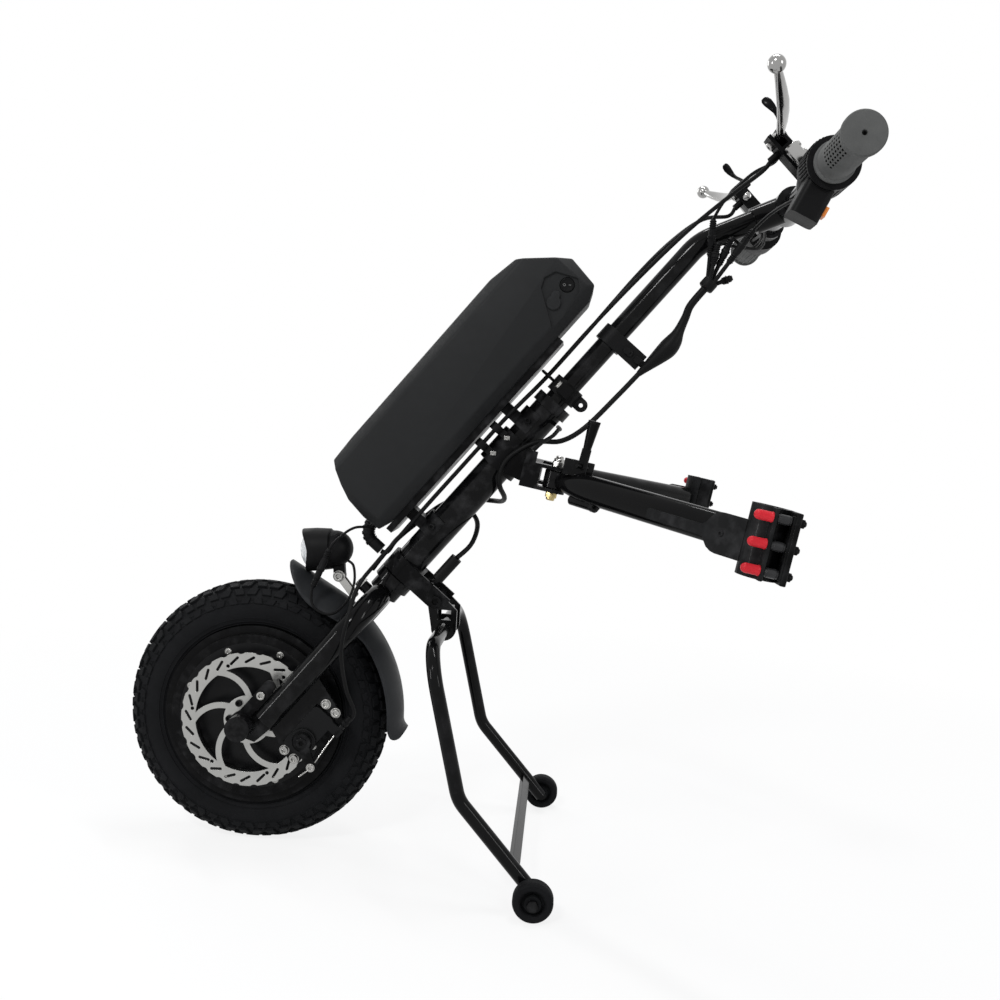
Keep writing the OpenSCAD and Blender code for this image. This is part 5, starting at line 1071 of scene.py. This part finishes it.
def clamp_body(arm, clamp):
    """The arm's plate with the front half shell and its flange."""
    shape = Shape()
    shape.slab(arm, PLATE, PLATE_LOW, PLATE_HIGH)
    shape.bolt(aimed(arm(254, PLATE_HIGH, -3), arm.y), 3, 1.6)
    shape.bar(clamp, half_shell(-1), -CLAMP_HALF_H, CLAMP_HALF_H)
    shape.block(Place(clamp(-4, 21, 0), clamp.x, clamp.z), (4, 17, 2 * CLAMP_HALF_H), 1.4)
    return shape


def clamp_rear(clamp):
    """The rear half shell on its plate, with the bolts and their nuts."""
    shape = Shape()
    shape.bar(clamp, half_shell(1), -CLAMP_HALF_H, CLAMP_HALF_H)
    shape.block(Place(clamp(16.6, 11, 0), clamp.x, clamp.z), (6, 42, 2 * CLAMP_HALF_H), 2)
    shape.block(Place(clamp(12.8, 26, 0), clamp.x, clamp.z), (2.4, 10, 2 * CLAMP_HALF_H - 8), 0.9)
    for z in BOLT_ZS:
        shape.lathe(aimed(clamp(0, BOLT_Y, z), clamp.x), [(2.6, -12), (3, -11.4), (3, 20), (2.6, 20.4)], 20)
        shape.nut(aimed(clamp(19.6, BOLT_Y, z), clamp.x), 4.6, 4, 2.6)
    return shape


def clamp_sleeves(clamp):
    """Spacer sleeves on the clamp bolts, between the halves."""
    shape = Shape()
    sleeve = [(3.6, 0), (4.2, 0.5), (4.2, 2), (4.7, 2.4), (4.7, 11), (4.3, 11.5), (4.3, 13), (3.8, 13.6)]
    for z in BOLT_ZS:
        shape.lathe(aimed(clamp(-2, BOLT_Y, z), clamp.x), sleeve, 24)
    return shape


def red_caps(clamp):
    """Dipped vinyl caps over the ends of the bolts."""
    shape = Shape()
    mouth = [(3.2, 0), (CAP_R + 0.3, 0), (CAP_R + 0.4, 1.2), (CAP_R, 1.8)]
    for z in BOLT_ZS:
        shape.lathe(aimed(clamp(-6, BOLT_Y, z), -clamp.x), mouth + arc(0, CAP_LEN - CAP_R, CAP_R, 0, 90, 9))
    return shape


for side, hand in HANDS.items():
    arm = ARMS[side]
    along = YOKE.x * cos(CLAMP_TURN) - YOKE.y * hand * sin(CLAMP_TURN)
    clamp = Place(arm(CLAMP_X, 0, 0), along, YOKE.z, hand)
    body = side + "_arm"
    piece("clamp_body_" + side, clamp_body(arm, clamp), body, PLATE_PAINT, "black_paint", "clamp_" + side)
    piece("clamp_rear_" + side, clamp_rear(clamp), body, SATIN_PAINT, "black_paint", "jaw_" + side)
    piece("clamp_sleeves_" + side, clamp_sleeves(clamp), body, DARK_STEEL, "black_paint")
    piece("red_caps_" + side, red_caps(clamp), body, RED_VINYL, "red_vinyl", "clamp_caps_" + side)


# Battery: the case with eased edges, its control recess, rocker and marks
BATTERY_BACK, BATTERY_DEEP, BATTERY_TOP, CONTROLS_LEN = -47, 102, 652, 80
RECESS_SHARES = [(0.5, 0.614), (0.545, 0.48), (0.5, 0.312), (0.26, 0.168), (0.15, 0.288), (0.07, 0.96)]
RECESS_FLOOR = -42.5
ROCKER_X, ROCKER_Z, ROCKER_HOLE_R = -78, 625, 8.6
PORT_X, PORT_Z, PORT_R = -76, 600, 7
EDGE_R = 2.6


def cutter(outline, low, high):
    shape = Shape()
    shape.slab(STEER, outline, low, high)
    return shape.mesh("cutter")


def cut(obj, *cutters):
    for mesh in cutters:
        tool = new_object("cutter", mesh)
        change = obj.modifiers.new("cut", "BOOLEAN")
        change.operation = "DIFFERENCE"
        change.solver = "EXACT"
        change.object = tool
        whole = obj.evaluated_get(bpy.context.evaluated_depsgraph_get())
        old, result = obj.data, bpy.data.meshes.new_from_object(whole)
        obj.modifiers.clear()
        obj.data = result
        bpy.data.meshes.remove(old)
        bpy.data.objects.remove(tool)


def round_outline(x, z, r):
    return [(x + r * cos(t), z + r * sin(t)) for t in circle(48)]


def battery_blank():
    """The hull of the solid case with all its edges eased."""
    shape = Shape()
    bm = shape.bm
    shape.ring([vertex.co for vertex in NODES["battery_case"].data.vertices])
    bmesh.ops.remove_doubles(bm, verts=bm.verts, dist=0.2 * MM)
    hull = bmesh.ops.convex_hull(bm, input=bm.verts)
    loose = [v for v in hull["geom_interior"] if isinstance(v, bmesh.types.BMVert)]
    bmesh.ops.delete(bm, geom=loose, context="VERTS")
    bmesh.ops.dissolve_limit(bm, angle_limit=radians(1.5), verts=bm.verts, edges=bm.edges)
    bmesh.ops.bevel(bm, geom=list(bm.edges), offset=EDGE_R * MM, segments=3, profile=0.5, affect="EDGES",
                    clamp_overlap=True)
    return shape.mesh("battery_shell")


def battery_shell():
    blank = new_object("battery_blank", battery_blank())
    recess = [(BATTERY_BACK - BATTERY_DEEP * a, BATTERY_TOP - CONTROLS_LEN * b) for a, b in RECESS_SHARES]
    cut(blank, cutter(recess, -48, RECESS_FLOOR),
        cutter(round_outline(ROCKER_X, ROCKER_Z, ROCKER_HOLE_R), -43, -38),
        cutter(round_outline(PORT_X, PORT_Z, PORT_R), -43, -40))
    mesh = blank.data
    bpy.data.objects.remove(blank)
    return mesh


piece("battery_shell", battery_shell(), "battery", CASE_PLASTIC, "black_plastic", "battery_case", smooth=28)

rocker_at = aimed(STEER(ROCKER_X, -40, ROCKER_Z), LEFT)
rocker_cap = Shape()
rocker_cap.lathe(rocker_at, [(7.6, 0), (8, 0.4), (8, 3.6), (7.5, 4), (6.6, 4), (6.2, 3.5), (3, 3.1), (0.6, 3)],
                 40)
piece("rocker_cap", rocker_cap, "rocker", BLACK_PLASTIC, "black_plastic", "power_rocker")
marks = Shape()
marks.lathe(aimed(rocker_at(-3.2, 0, 2.6), rocker_at.z), [(1.1, 0), (1.1, 1.1), (1.5, 1.1), (1.5, 0)], 24,
            loop=True)
marks.block(aimed(rocker_at(3.2, 0, 3.2), rocker_at.z), (2.8, 0.7, 1), 0.3)
piece("rocker_marks", marks, "rocker", PALE_PRINT, "black_plastic")


# Camera, fitted to the photograph
CAMERA_AT = Vector((128.96, -1251.0, 525.4)) * MM
CAMERA_YAW = radians(-3.52)
CAMERA_PITCH = radians(-4.25)
CAMERA_ROLL = radians(3.20)
CAMERA_LENS = 37.9
SENSOR = 36.0

ahead = Vector((sin(CAMERA_YAW) * cos(CAMERA_PITCH), cos(CAMERA_YAW) * cos(CAMERA_PITCH), sin(CAMERA_PITCH)))
level = Vector((cos(CAMERA_YAW), -sin(CAMERA_YAW), 0))
upward = level.cross(ahead)
right = level * cos(CAMERA_ROLL) + upward * sin(CAMERA_ROLL)
top = upward * cos(CAMERA_ROLL) - level * sin(CAMERA_ROLL)
camera_data = bpy.data.cameras.new("camera")
camera_data.lens = CAMERA_LENS
camera_data.sensor_width = SENSOR
camera_data.sensor_fit = "HORIZONTAL"
camera = new_object("camera", camera_data)
camera.matrix_world = Matrix.Translation(CAMERA_AT) @ Matrix((right, top, -ahead)).transposed().to_4x4()
bpy.context.scene.camera = camera


# Studio: a white room, soft lamps and a floor that keeps the shadow
def area_lamp(name, at, aim_z, size, watts):
    data = bpy.data.lights.new(name, "AREA")
    data.shape = "RECTANGLE"
    data.size, data.size_y = size
    data.energy = watts
    lamp = new_object(name, data)
    lamp.location = at
    lamp.rotation_euler = (Vector((0, 0, aim_z)) - Vector(at)).to_track_quat("-Z", "Y").to_euler()


area_lamp("key", (-0.9, -2.2, 2.4), 0.4, (0.5, 0.32), 34)
area_lamp("fill", (2.2, -1.6, 1.3), 0.4, (0.3, 1.0), 12)
area_lamp("overhead", (0.2, 0.2, 2.6), 0.3, (1.5, 0.14), 26)
area_lamp("front_strip", (-2.2, -1.4, 0.9), 0.45, (0.12, 0.9), 13)
area_lamp("rear", (-1.6, 1.8, 1.6), 0.4, (0.8, 1.2), 14)


def seen_share(tree):
    """1 for rays that come from the camera, a mirror or glass."""
    path = tree.nodes.new("ShaderNodeLightPath")
    value = path.outputs["Is Camera Ray"]
    for kind in ("Is Glossy Ray", "Is Transmission Ray"):
        value = math_node(tree, "MAXIMUM", value, path.outputs[kind])
    return value


def mixed(tree, share, a, b, out):
    node = tree.nodes.new("ShaderNodeMixShader")
    tree.links.new(share, node.inputs[0])
    tree.links.new(a.outputs[0], node.inputs[1])
    tree.links.new(b.outputs[0], node.inputs[2])
    tree.links.new(node.outputs[0], tree.nodes.new(out).inputs[0])


world = bpy.data.worlds.new("studio")
bpy.context.scene.world = world
tree = empty_tree(world)
white = add_node(tree, "ShaderNodeBackground", Color=(1, 1, 1, 1), Strength=1)
soft = add_node(tree, "ShaderNodeBackground", Color=(0.92, 0.95, 1, 1), Strength=0.4)
mixed(tree, seen_share(tree), soft, white, "ShaderNodeOutputWorld")

FLOOR_HALF = 6.0
FLOOR_GREY = (0.88, 0.88, 0.88, 1)
floor_mat = bpy.data.materials.new("floor")
tree = empty_tree(floor_mat)
diffuse = add_node(tree, "ShaderNodeBsdfDiffuse", Color=FLOOR_GREY)
glow = add_node(tree, "ShaderNodeEmission", Strength=1)
distance = tree.nodes.new("ShaderNodeVectorMath")
distance.operation = "LENGTH"
tree.links.new(tree.nodes.new("ShaderNodeTexCoord").outputs["Object"], distance.inputs[0])
fade = add_node(tree, "ShaderNodeMapRange", From_Min=0.5, From_Max=1.5, To_Min=0.84, To_Max=1)
tree.links.new(distance.outputs["Value"], fade.inputs["Value"])
glow_share = math_node(tree, "MULTIPLY", seen_share(tree), fade.outputs[0])
mixed(tree, glow_share, diffuse, glow, "ShaderNodeOutputMaterial")

corners = [(x * FLOOR_HALF, y * FLOOR_HALF, 0) for x, y in ((-1, -1), (1, -1), (1, 1), (-1, 1))]
floor_mesh = bpy.data.meshes.new("floor")
floor_mesh.from_pydata(corners, [], [(0, 1, 2, 3)])
floor_mesh.materials.append(floor_mat)
floor = new_object("floor", floor_mesh)
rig.stage(floor)

bpy.context.scene.view_settings.view_transform = "Standard"

with open("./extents.json", "w") as size_file:
    json.dump({"cad": [list(c) for c in cad_box], "visual": [list(c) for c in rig.bounds()]}, size_file)
